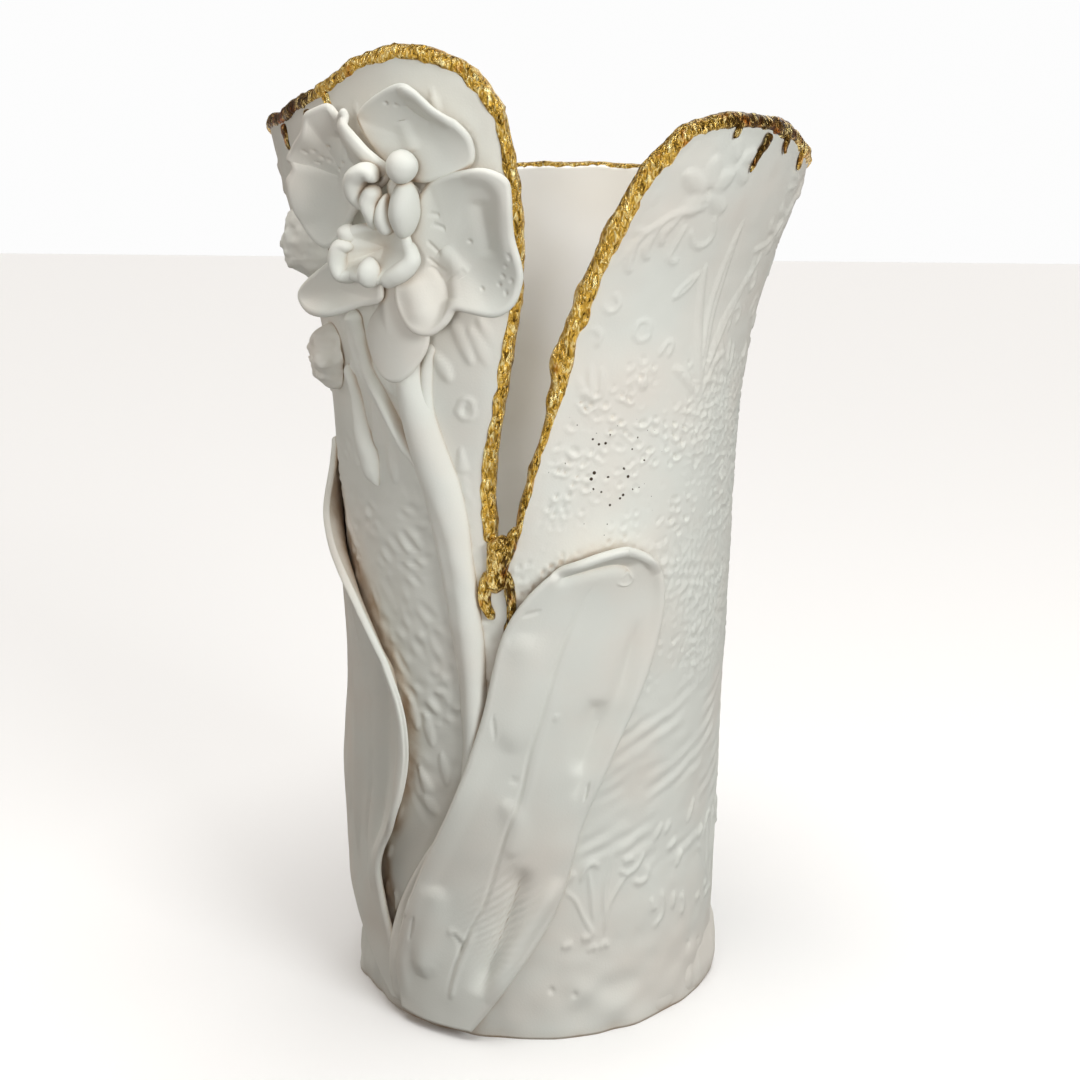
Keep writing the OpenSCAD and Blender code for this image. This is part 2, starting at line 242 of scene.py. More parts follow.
def cells(x, y, round_count, seed):
    """Distances to the nearest and next nearest of jittered dots, one to a unit square,
    and how far each point lies above its nearest dot.

    Along x the dots repeat after round_count squares, so they close round the vase.
    """
    column = np.floor(x)
    row = np.floor(y)
    nearest = np.full(x.shape, 9.0)
    second = nearest.copy()
    above = np.zeros(x.shape)
    for i in (-1, 0, 1):
        for j in (-1, 0, 1):
            key = (column + i) % round_count
            dot_x = column + i + 0.5 + 0.42 * scatter(key, row + j, 0 * key, seed)
            dot_y = row + j + 0.5 + 0.42 * scatter(key, row + j, 0 * key + 7, seed)
            gap = np.hypot(x - dot_x, y - dot_y)
            above = np.where(gap < nearest, y - dot_y, above)
            second = np.minimum(second, np.maximum(nearest, gap))
            nearest = np.minimum(nearest, gap)
    return nearest, second, above


# ---------- the wall's own frame ----------

def wall_radius(angle, height):
    """Outside radius of the wall: a slow swell, then a flare that is fuller on the right."""
    fuller = 0.875 + 0.125 * np.sin(np.radians(angle))
    swell = mm("foot_radius") + SWELL * height ** 2
    return swell + mm("flare") * fuller / (1 + np.exp((mm("flare_height") - height) / FLARE_SOFTNESS))


def wrap(angle, height, off=0.0):
    """Points at angles and heights, off millimetres outside the wall."""
    turn = np.radians(angle)
    radius = wall_radius(angle, height) + off
    return np.stack(np.broadcast_arrays(radius * np.sin(turn), -radius * np.cos(turn), height), -1)


def wrap3(rows):
    """Points from rows of [angle, height, off]."""
    return wrap(rows[..., 0], rows[..., 1], rows[..., 2])


def wall_at(u, v):
    """Angle and height on the wall, torn by hand along its open edges.

    u runs from the right side of the slit round to the left, v up from the underside at
    -1 to the foot of the slit at 0 and the rim at 1.
    """
    u, v = np.broadcast_arrays(np.asarray(u, float), np.asarray(v, float))
    slit = mm("slit_height")
    ring = np.stack([mix(*SLIT_FOOT, u), np.full(u.shape, slit)], -1)
    up = np.clip(v, 0, 1)
    right = curve(RIGHT_EDGE, up)
    left = curve(LEFT_EDGE, up)
    (right_angle, right_top), (left_angle, left_top) = RIM[0], RIM[-1]
    rim_angle = mix(right_angle, left_angle, u)
    rim_height = curve(RIM, rim_angle)[..., 1]
    across = mix(right[..., 1:], left[..., 1:], u[..., None])
    upward = mix(ring, np.stack([rim_angle, rim_height], -1), up[..., None])
    corners = mix(ring, np.stack([rim_angle, mix(right_top, left_top, u)], -1), up[..., None])
    patch = across + upward - corners
    angle = np.where(v <= 0, ring[..., 0], patch[..., 0])
    height = np.where(v <= 0, slit * (v + 1), patch[..., 1])
    along = rim_angle * 1.2
    torn = 0.9 * wobble(along, 13, 3) + 0.5 * wobble(along, 4.5, 4)
    height = height + up ** 5 * torn
    near = np.exp(-(np.minimum(u, 1 - u) * WING_WIDTH / 5) ** 2) * smooth(0, 0.1, up)
    ragged = 0.5 * wobble(height, 11, 5) + 0.35 * wobble(height, 4, 6)
    return angle + near * ragged, height


# ---------- meshes ----------

def normals(points, closed):
    """Outward unit normals of a grid of points, closed or open along its rows."""
    if closed:
        across = np.roll(points, -1, 1) - np.roll(points, 1, 1)
    else:
        across = np.gradient(points, axis=1)
    along = np.gradient(points, axis=0)
    normal = np.cross(across, along)
    out = points * [1, 1, 0]
    out = out / np.maximum(np.linalg.norm(out, axis=-1, keepdims=True), 1e-6)
    if (normal * out).sum() < 0:
        normal = -normal
    normal = normal + out * 1e-5
    return normal / np.maximum(np.linalg.norm(normal, axis=-1, keepdims=True), 1e-9)


def quads(number, closed=False):
    """Faces of a grid of numbered points."""
    if closed:
        number = np.concatenate([number, number[:, :1]], 1)
    a, b, c, d = number[:-1, :-1], number[:-1, 1:], number[1:, 1:], number[1:, :-1]
    return np.stack([a, b, c, d], -1).reshape(-1, 4)


def trimmed(faces):
    """The faces without the corners that fall on each other."""
    kept = []
    for face in faces.tolist():
        loop = [n for at, n in enumerate(face) if n != face[at - 1]]
        if len(set(loop)) == len(loop) and len(loop) > 2:
            kept.append(loop)
    return kept


def loft(loops, closed=False):
    """Points and faces of a skin over closed loops, capped unless it closes on itself."""
    count, size = loops.shape[:2]
    number = np.arange(count * size).reshape(count, size)
    if closed:
        number = np.concatenate([number, number[:1]])
    faces = quads(number, True).tolist()
    if not closed:
        faces += [number[0][::-1].tolist(), number[-1].tolist()]
    return loops.reshape(-1, 3), faces


def shell(middle, half, lift, closed):
    """Points and faces of a thick sheet, from its middle surface and half thickness.

    The half thickness is nothing along the border, where the two faces meet. lift is the
    relief on the outward face.
    """
    normal = normals(middle, closed)
    if closed:
        normal[0] = normal[1].mean(0)
    upper = middle + normal * (half + lift)[..., None]
    lower = middle - normal * half[..., None]
    count = middle[..., 0].size
    top = np.arange(count).reshape(middle.shape[:2])
    under = top + count
    under[-1] = top[-1]
    if closed:
        top[0] = top[0, 0]
        under[0] = under[0, 0]
    else:
        under[0] = top[0]
        under[:, 0] = top[:, 0]
        under[:, -1] = top[:, -1]
    faces = trimmed(np.concatenate([quads(top, closed), quads(under, closed)[:, ::-1]]))
    return np.concatenate([upper.reshape(-1, 3), lower.reshape(-1, 3)]), faces


def rim_half(middle, thickness, closed):
    """Half thickness of a sheet that ends in a round rim."""
    across = np.linalg.norm(np.diff(middle, axis=1), axis=-1)
    along = np.linalg.norm(np.diff(middle, axis=0), axis=-1)
    start = np.concatenate([along[:1] * 0, along.cumsum(0)])
    gap = start[-1:] - start
    if not closed:
        side = np.concatenate([across[:, :1] * 0, across.cumsum(1)], 1)
        gap = np.minimum(np.minimum(gap, start), np.minimum(side, side[:, -1:] - side))
    share = np.clip(gap / (thickness * 0.6), 0, 1)
    return thickness / 2 * np.sqrt(1 - (1 - share) ** 2)


def join(parts):
    """One list of points and one of faces from several."""
    points, faces, first = [], [], 0
    for part_points, part_faces in parts:
        points.append(part_points)
        faces += [[n + first for n in face] for face in part_faces]
        first += len(part_points)
    return np.concatenate(points), faces


def add_piece(name, solid, material, node, marks=None):
    """Adds a smooth mesh from points in millimetres, hangs it on the body and hides the imported part it
    replaces.
    """
    points, faces = solid
    used = np.zeros(len(points), bool)
    used[[n for face in faces for n in face]] = True
    number = np.cumsum(used) - 1
    faces = [[int(number[n]) for n in face] for face in faces]
    mesh = bpy.data.meshes.new(name)
    mesh.from_pydata((points[used] * MM).tolist(), [], faces)
    if mesh.validate():
        raise RuntimeError(f"{name} had broken faces")
    mesh.shade_smooth()
    for mark, values in (marks or {}).items():
        mesh.attributes.new(mark, "FLOAT", "POINT").data.foreach_set("value", values[used])
    if signed_volume(mesh) < 0:
        mesh.flip_normals()
    mesh.materials.append(material)
    piece = bpy.data.objects.new(name, mesh)
    bpy.context.scene.collection.objects.link(piece)
    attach(piece, BODY)
    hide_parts(node)
    return piece


def add_clay(name, solid, node, marks=None):
    """Adds a piece of unglazed porcelain."""
    return add_piece(name, solid, bisque_porcelain(), node, marks)


def signed_volume(mesh):
    """Six times the volume of a mesh, below zero if its faces look inwards."""
    mesh.calc_loop_triangles()
    corners = np.zeros(len(mesh.loop_triangles) * 3, int)
    mesh.loop_triangles.foreach_get("vertices", corners)
    points = np.zeros(len(mesh.vertices) * 3)
    mesh.vertices.foreach_get("co", points)
    a, b, c = points.reshape(-1, 3)[corners.reshape(-1, 3)].transpose(1, 0, 2)
    return (a * np.cross(b, c)).sum()


# ---------- materials ----------

def feed(tree, node, inputs):
    """Gives each input of a node a value or another node's output."""
    for name, value in inputs.items():
        socket = node.inputs[name]
        if isinstance(value, bpy.types.NodeSocket):
            tree.links.new(value, socket)
        elif socket.type == "RGBA":
            socket.default_value = [*value, 1]
        else:
            socket.default_value = value


def add_node(tree, kind, inputs=None, **settings):
    """Adds a shader node, with its inputs as in feed and its settings."""
    node = tree.nodes.new(kind)
    for name, value in settings.items():
        setattr(node, name, value)
    feed(tree, node, inputs or {})
    return node


def per_mm(size):
    """The texture scale that gives marks of a size in millimetres."""
    return 1 / (size * MM)


def finish(name, paint):
    """The material of that name, made the first time it is asked for.

    paint(tree, place, tint) adds its nodes and returns the inputs of the shader.
    """
    material = bpy.data.materials.get(name)
    if material is None:
        material = bpy.data.materials.new(name)
        material.use_nodes = True
        tree = material.node_tree
        place = add_node(tree, "ShaderNodeTexCoord").outputs["Object"]
        inputs = paint(tree, place, bpy.context.scene.vase_colours)
        feed(tree, tree.nodes["Principled BSDF"], inputs)
    return material


def bisque_porcelain():
    """The clay of the wall and of everything luted to it."""
    return finish("unglazed_porcelain", bisque)


def bisque(tree, place, tint):
    """Unglazed porcelain, sanded and high fired: dead matt, faintly grainy, browner in hollows, partly a
    real stain and partly painted shade.
    """
    cloud = add_node(tree, "ShaderNodeTexNoise", {"Vector": place, "Scale": per_mm(38), "Detail": 3})
    warmth = add_node(tree, "ShaderNodeMapRange", {"Value": cloud.outputs["Fac"], "From Min": 0.42,
                                                   "From Max": 0.68})
    body = add_node(tree, "ShaderNodeMix", {0: warmth.outputs[0], 6: tint.clay, 7: tint.clay_warm},
                    data_type="RGBA")
    # Ambient occlusion turns the colour brown in hollows, under petals and leaves and between parts: a
    # real stain, and painted shade as well.
    open_sky = add_node(tree, "ShaderNodeAmbientOcclusion", {"Distance": 9 * MM}, samples=8)
    hollow_shade = add_node(tree, "ShaderNodeMapRange", {"Value": open_sky.outputs["AO"], "From Min": 0.66,
                                                   "From Max": 0.26})
    patches = add_node(tree, "ShaderNodeTexNoise", {"Vector": place, "Scale": per_mm(9), "Detail": 4})
    uneven = add_node(tree, "ShaderNodeMapRange", {"Value": patches.outputs["Fac"], "From Min": 0.3,
                                                   "From Max": 0.7, "To Min": 0.35, "To Max": 0.85})
    stain_and_shade = add_node(tree, "ShaderNodeMath", {0: hollow_shade.outputs[0], 1: uneven.outputs[0]},
                      operation="MULTIPLY")
    stained_and_shaded = add_node(tree, "ShaderNodeMix", {0: stain_and_shade.outputs[0], 6: body.outputs[2],
                                               7: tint.wash_and_shade}, data_type="RGBA")
    # Pinholes some 2.6 mm apart and up to 1.2 mm across, only where the clay is marked for them. They are
    # dark dots of painted shade; the mesh has no holes there.
    pinhole = add_node(tree, "ShaderNodeAttribute", attribute_name="pinhole")
    dots = add_node(tree, "ShaderNodeTexVoronoi", {"Vector": place, "Scale": per_mm(2.6)})
    depth = add_node(tree, "ShaderNodeMath", {0: pinhole.outputs["Fac"], 1: -0.23,
                                              2: dots.outputs["Distance"]}, operation="MULTIPLY_ADD")
    hole = add_node(tree, "ShaderNodeMapRange", {"Value": depth.outputs[0], "From Min": 0.0,
                                                 "From Max": -0.03})
    holed = add_node(tree, "ShaderNodeMix", {0: hole.outputs[0], 6: stained_and_shaded.outputs[2],
                                             7: tint.pinhole_shade}, data_type="RGBA")
    # The real grain is about 0.2 mm; it is drawn at 0.6 mm so that it shows at all.
    grain = add_node(tree, "ShaderNodeTexNoise", {"Vector": place, "Scale": per_mm(0.6), "Detail": 2})
    bump = add_node(tree, "ShaderNodeBump", {"Height": grain.outputs["Fac"], "Strength": 0.35,
                                             "Distance": 0.12 * MM})
    roughness = add_node(tree, "ShaderNodeMapRange", {"Value": patches.outputs["Fac"],
                                                      "To Min": 0.6, "To Max": 0.8})
    return {"Base Color": holed.outputs[2], "Roughness": roughness.outputs[0],
            "Normal": bump.outputs[0], "IOR": 1.45, "Specular IOR Level": 0.35}


def clear_glaze(tree, place, tint):
    """Porcelain under a poured clear glaze: milky and a little warm, with wet, soft reflections."""
    cloud = add_node(tree, "ShaderNodeTexNoise", {"Vector": place, "Scale": per_mm(55), "Detail": 2})
    depth = add_node(tree, "ShaderNodeMapRange", {"Value": cloud.outputs["Fac"], "From Min": 0.35,
                                                  "From Max": 0.7})
    body = add_node(tree, "ShaderNodeMix", {0: depth.outputs[0], 6: tint.glaze, 7: tint.clay_warm},
                    data_type="RGBA")
    # Poured glaze runs in low waves, some 14 mm apart.
    waves = add_node(tree, "ShaderNodeTexNoise", {"Vector": place, "Scale": per_mm(14), "Detail": 1})
    bump = add_node(tree, "ShaderNodeBump", {"Height": waves.outputs["Fac"], "Strength": 0.25,
                                             "Distance": 1.0 * MM})
    return {"Base Color": body.outputs[2], "Roughness": 0.35, "Normal": bump.outputs[0], "IOR": 1.5,
            "Coat Weight": 1.0, "Coat Roughness": 0.06, "Coat Normal": bump.outputs[0]}


def gold_lustre(tree, place, tint):
    """Brushed and fired liquid gold, crinkled: a painted highlight on the crests, amber where it pooled,
    and dark in the valleys, painted shade with real darkening where it pooled.
    """
    # Crinkles about 1 mm apart, drawn out upright as the rim was brushed.
    drawn = add_node(tree, "ShaderNodeMapping", {"Vector": place, "Scale": (1, 1, 0.45)})
    folds = add_node(tree, "ShaderNodeTexNoise", {"Vector": drawn.outputs[0], "Scale": per_mm(1.1),
                                                  "Detail": 5, "Distortion": 1.0})
    # The crests of the crinkles are painted paler: a painted highlight.
    crest_highlight = add_node(tree, "ShaderNodeMapRange", {"Value": folds.outputs["Fac"], "From Min": 0.5,
                                                 "From Max": 0.66})
    gold_with_highlight = add_node(tree, "ShaderNodeMix", {0: crest_highlight.outputs[0], 6: tint.gold, 7: tint.gold_highlight},
                      data_type="RGBA")
    pool = add_node(tree, "ShaderNodeAttribute", attribute_name="pooled")
    blots = add_node(tree, "ShaderNodeTexNoise", {"Vector": place, "Scale": per_mm(4), "Detail": 3})
    blot_level = add_node(tree, "ShaderNodeMath", {0: blots.outputs["Fac"], 1: pool.outputs["Fac"]},
                          operation="ADD")
    amber = add_node(tree, "ShaderNodeMapRange", {"Value": blot_level.outputs[0], "From Min": 0.62,
                                                  "From Max": 0.85})
    warm = add_node(tree, "ShaderNodeMix", {0: amber.outputs[0], 6: gold_with_highlight.outputs[2],
                                            7: tint.gold_amber}, data_type="RGBA")
    # The valleys of the crinkles are painted dark, a painted shade; where the lustre pooled thick it
    # darkens more, as it fired.
    depth = add_node(tree, "ShaderNodeMath", {0: folds.outputs["Fac"], 1: pool.outputs["Fac"]},
                     operation="SUBTRACT")
    valley_shade_and_burn = add_node(tree, "ShaderNodeMapRange", {"Value": depth.outputs[0], "From Min": 0.47,
                                                  "From Max": 0.3, "To Max": 0.92})
    stained_and_shaded = add_node(tree, "ShaderNodeMix", {0: valley_shade_and_burn.outputs[0], 6: warm.outputs[2],
                                               7: tint.gold_shade_and_burn}, data_type="RGBA")
    roughness = add_node(tree, "ShaderNodeMapRange", {"Value": blots.outputs["Fac"], "From Min": 0.3,
                                                      "From Max": 0.7, "To Min": 0.2, "To Max": 0.36})
    bump = add_node(tree, "ShaderNodeBump", {"Height": folds.outputs["Fac"], "Strength": 1.0,
                                             "Distance": 1.6 * MM})
    return {"Base Color": stained_and_shaded.outputs[2], "Metallic": 1.0, "Roughness": roughness.outputs[0],
            "Normal": bump.outputs[0]}


def studio_paper(tree, place, tint):
    """Matt seamless paper for the floor, with its faint tooth."""
    tooth = add_node(tree, "ShaderNodeTexNoise", {"Vector": place, "Scale": per_mm(1.5)})
    bump = add_node(tree, "ShaderNodeBump", {"Height": tooth.outputs["Fac"], "Strength": 0.1,
                                             "Distance": 0.1 * MM})
    return {"Base Color": tint.stage, "Roughness": 0.9, "Normal": bump.outputs[0]}


# ---------- pressed marks ----------
# A mark is (rise, half width, kind, points): rise is its height in millimetres, below
# nothing for a groove, and points are the [angle, height] that its middle passes.

def half_width(kind, width, share):
    """Half width along a mark: a line, a leaf that is pointed at both ends, or a drop."""
    if kind == "leaf":
        return width * np.maximum(np.sin(math.pi * share), 0.05) ** 0.7
    if kind == "drop":
        return width * (0.25 + 0.75 * share)
    return np.full(share.shape, float(width))


def press(field, angle, height, marks, shift=(0, 0), soft=False):
    """Raises a field of heights over the wall's angles and heights by a set of marks.

    Soft marks have no edge: they swell or sink the clay to about twice their width, and long
    ones fade away towards both ends.
    """
    for rise, width, kind, points in marks:
        points = np.array(points, float) + shift
        scale = math.radians(wall_radius(*points.mean(0)))
        away = (angle - points[0, 0] + 180) % 360 - 180
        x = away * scale
        y = height - points[0, 1]
        line = (points - points[0]) * [scale, 1]
        reach = width * (2.4 if soft else 1)
        low, high = line.min(0) - reach, line.max(0) + reach
        near = (x > low[0]) & (x < high[0]) & (y > low[1]) & (y < high[1])
        if not near.any():
            continue
        share = np.linspace(0, 1, 7 * len(line) - 6)
        path = even(line, share)
        step = np.diff(path, axis=0)
        from_x = x[near][:, None] - path[:-1, 0]
        from_y = y[near][:, None] - path[:-1, 1]
        along = (from_x * step[:, 0] + from_y * step[:, 1]) / (step ** 2).sum(1)
        along = np.clip(along, 0, 1)
        gap = np.hypot(from_x - along * step[:, 0], from_y - along * step[:, 1])
        wide = np.maximum(half_width(kind, width, share), 0.5 * width * soft)
        ratio = gap / mix(wide[:-1], wide[1:], along)
        nearest = ratio.argmin(1)
        ratio = ratio.min(1)
        if soft:
            passed = (nearest + along[np.arange(len(nearest)), nearest]) / len(step)
            fade = smooth(0, 0.2, np.minimum(passed, 1 - passed))
            long = np.hypot(*step.T).sum() > 2 * width
            fade = fade if long else 1
            field[near] += rise * fade * np.exp(-1.6 * ratio ** 2) * (1 - smooth(1.6, 2.4, ratio))
            continue
        dome = rise * np.sqrt(np.clip(1 - ratio ** 2, 0, 1)) * (1 - smooth(0.5, 1, ratio) * 0.4)
        kept = field[near]
        field[near] = kept + np.where(rise > 0, np.maximum(dome - np.maximum(kept, 0) * 0.5, 0), dome)
    return field


SPRAY = [  # blossoms, a frond with its drips, and curls, high on the wing
    (0.9, 3.2, "leaf", [[46, 258], [50.5, 262]]), (0.9, 3.2, "leaf", [[45, 259], [45.5, 266]]),
    (0.9, 3.2, "leaf", [[44, 258], [39, 262]]), (0.9, 3.0, "leaf", [[44.5, 256], [40.5, 251.5]]),
    (0.9, 3.0, "leaf", [[46, 256], [50.5, 252.5]]), (-0.5, 0.8, "line", [[45.2, 257.4], [45.3, 257]]),
    (0.8, 2.4, "leaf", [[52, 265], [56, 268]]), (0.8, 2.4, "leaf", [[51, 266], [50, 271]]),
    (0.8, 2.4, "leaf", [[51.5, 264], [55, 260]]),
    (0.8, 1.0, "line", [[45, 253], [38, 251], [31.5, 245.5], [27, 239], [22, 237]]),
    (0.7, 1.5, "leaf", [[40, 251], [36.5, 246], [37, 243]]),
    (0.7, 1.5, "leaf", [[36, 249.5], [33, 242.5], [34, 239.5]]),
    (0.7, 1.5, "leaf", [[33, 247], [29, 247.5], [27.5, 250]]),
    (0.7, 1.4, "leaf", [[31, 245], [29.5, 238.5], [30.5, 236]]),
    (0.7, 1.3, "leaf", [[29, 242], [25.5, 243], [24.5, 245.5]]),
    (0.6, 0.8, "line", [[23.7, 234], [24, 228.4], [26.4, 225.3], [28.5, 227.1], [27.5, 229.8]]),
    (0.6, 0.8, "line", [[19.8, 214.5], [20.1, 219], [22.7, 220.6], [24.7, 218.9], [24, 216.4]]),
    (0.6, 0.9, "line", [[48.9, 250], [49.8, 244.8], [47.3, 242.4], [44.8, 243.4], [43.5, 246]]),
    (0.6, 0.9, "line", [[41.5, 247.5], [39.9, 242.2], [39.5, 239.2], [41.2, 238.4]]),
    (0.6, 1.2, "leaf", [[28, 258.5], [34, 256.4]]), (0.6, 1.2, "leaf", [[27.5, 254.4], [33.5, 255.2]]),
    (0.6, 1.8, "leaf", [[42.5, 228], [49, 234.5]]), (-0.3, 0.5, "leaf", [[43.5, 229], [48, 233.5]]),
]
FAN = [  # slender blades from one root, with a ring, a drop and small fronds beside them
    (0.7, 2.1, "leaf", [[55, 199], [56.5, 225], [58.5, 249]]),
    (0.7, 1.8, "leaf", [[54.5, 203], [52.5, 220], [50.5, 237]]),
    (0.7, 1.9, "leaf", [[57, 205], [63, 220], [72.5, 239]]),
    (0.6, 1.6, "leaf", [[54, 200], [49, 206], [45.5, 208.5]]),
    (0.6, 1.6, "leaf", [[56, 199], [60, 207], [65.5, 212]]),
    (-0.4, 0.6, "leaf", [[55.4, 206], [56.7, 225], [58, 243]]),
    (-0.4, 0.5, "leaf", [[58, 209], [63, 221], [70.5, 235]]),
    (0.5, 0.7, "line", [[33, 219], [34.5, 222.4], [37, 221.5], [37.2, 218], [34.6, 216.8], [33, 219]]),
    (0.8, 1.9, "drop", [[37, 208.5], [36.6, 204.5]]),
    (0.6, 1.3, "leaf", [[23.4, 200], [20, 205], [16.7, 212]]),
    (0.6, 1.2, "leaf", [[23.6, 200.5], [22.6, 206], [22.4, 211]]),
    (0.6, 1.2, "leaf", [[24, 200.5], [25.5, 204], [25.3, 209.5]]),
    (0.5, 0.9, "line", [[41, 213], [43, 216], [44.5, 215], [43.8, 212.6]]),
]
TUFT = [  # a lily tuft on two stalks that meet at the root, and crescents beside it
    (0.6, 0.7, "line", [[27.2, 33], [23.5, 40], [20.5, 47], [17, 50]]),
    (0.6, 0.7, "line", [[30, 33], [31, 42], [34.5, 49], [38.5, 53.4]]),
    (0.7, 0.8, "line", [[22, 52], [23.6, 56.6], [26, 58], [28.6, 56.4]]),
    (0.6, 0.9, "leaf", [[26.4, 38], [25.6, 48], [24.4, 57]]),
    (0.6, 0.9, "leaf", [[29.5, 40], [30, 50], [32.4, 62.5]]),
    (0.8, 0.8, "line", [[34, 54.6], [37.4, 52.6], [41, 54.4], [43.4, 58.6]]),
    (0.9, 1.0, "line", [[39, 50], [42, 48.4], [44.6, 49.6], [45, 53.6]]),
    (0.8, 1.7, "leaf", [[17, 52.5], [20.5, 56]]), (0.7, 1.8, "leaf", [[35.4, 57], [39.6, 57.4]]),
    (0.8, 0.9, "line", [[47, 31], [50.8, 34.6], [51.4, 39], [50.4, 43.6]]),
    (0.7, 1.6, "drop", [[46.4, 42], [47.4, 37]]), (0.8, 1.2, "leaf", [[56, 35], [56.4, 41]]),
    (0.8, 1.0, "line", [[60.5, 31], [61, 35.6], [60, 39]]), (0.8, 1.3, "leaf", [[57, 49], [60, 54.6]]),
    (0.7, 1.3, "leaf", [[53, 56], [56.6, 59]]), (0.7, 1.2, "leaf", [[47, 61], [50.4, 66.4]]),
    (0.7, 1.1, "leaf", [[53.6, 66], [51.4, 62]]), (0.6, 1.1, "leaf", [[62, 62], [66, 70]]),
    (0.6, 0.9, "line", [[24.6, 28.6], [26.4, 30.4], [27.6, 28.6]]),
    (0.6, 0.9, "line", [[28.6, 29], [30, 30.8], [31.4, 29]]),
    (0.6, 1.5, "leaf", [[16.6, 31.4], [20, 32]]), (0.6, 1.6, "leaf", [[22.6, 33.4], [26, 33.8]]),
    (-0.8, 1.0, "line", [[13.6, 17], [13.9, 16.6]]), (-0.7, 1.0, "line", [[20.6, 15], [20.9, 14.6]]),
]
LEFT_MARKS = [  # blade prints, a ring and drops under the flower
    (0.9, 2.3, "leaf", [[-10.5, 223], [-8, 217], [-6.3, 211]]),
    (0.9, 2.4, "leaf", [[-6.5, 221], [-4, 216], [-2, 210.5]]),
    (0.8, 2.0, "leaf", [[-4, 224], [-1.5, 219], [1, 215.5]]),
    (1.0, 2.4, "leaf", [[-15.5, 213], [-13.5, 209], [-12.2, 206]]),
    (0.7, 0.9, "line", [[-10.6, 197], [-8.8, 200.6], [-6.4, 199.8], [-6.5, 196], [-9, 195],
                        [-10.6, 197]]),
    (-0.4, 0.9, "line", [[-8.6, 197.8], [-8.4, 197.2]]),
    (0.8, 2.2, "drop", [[-10.2, 186], [-9.8, 181]]), (0.6, 1.8, "leaf", [[-9.4, 178], [-8.6, 173]]),
    (0.9, 3.2, "drop", [[-38.5, 196], [-37, 186]]), (0.7, 2.2, "leaf", [[-33, 185], [-31, 174]]),
    (0.6, 2.4, "leaf", [[-30, 108], [-27, 98]]), (0.6, 2.2, "leaf", [[-24, 104], [-22, 94]]),
    (0.8, 2.6, "drop", [[-27, 86], [-24, 80]]), (0.6, 2.0, "leaf", [[-19, 92], [-17, 82]]),
    (0.7, 2.4, "leaf", [[-25, 77], [-21, 72]]), (0.5, 2.0, "leaf", [[-18, 118], [-16, 108]]),
]
FINGERS = [  # where fingertips drew the clay up to the rim of the left wing
    (0.7, 1.4, "leaf", [[-33 + 4.1 * n, 268 + 2.6 * n - 0.22 * n * n],
                        [-34.5 + 4.2 * n, 276 + 2.5 * n - 0.22 * n * n]]) for n in range(7)
]


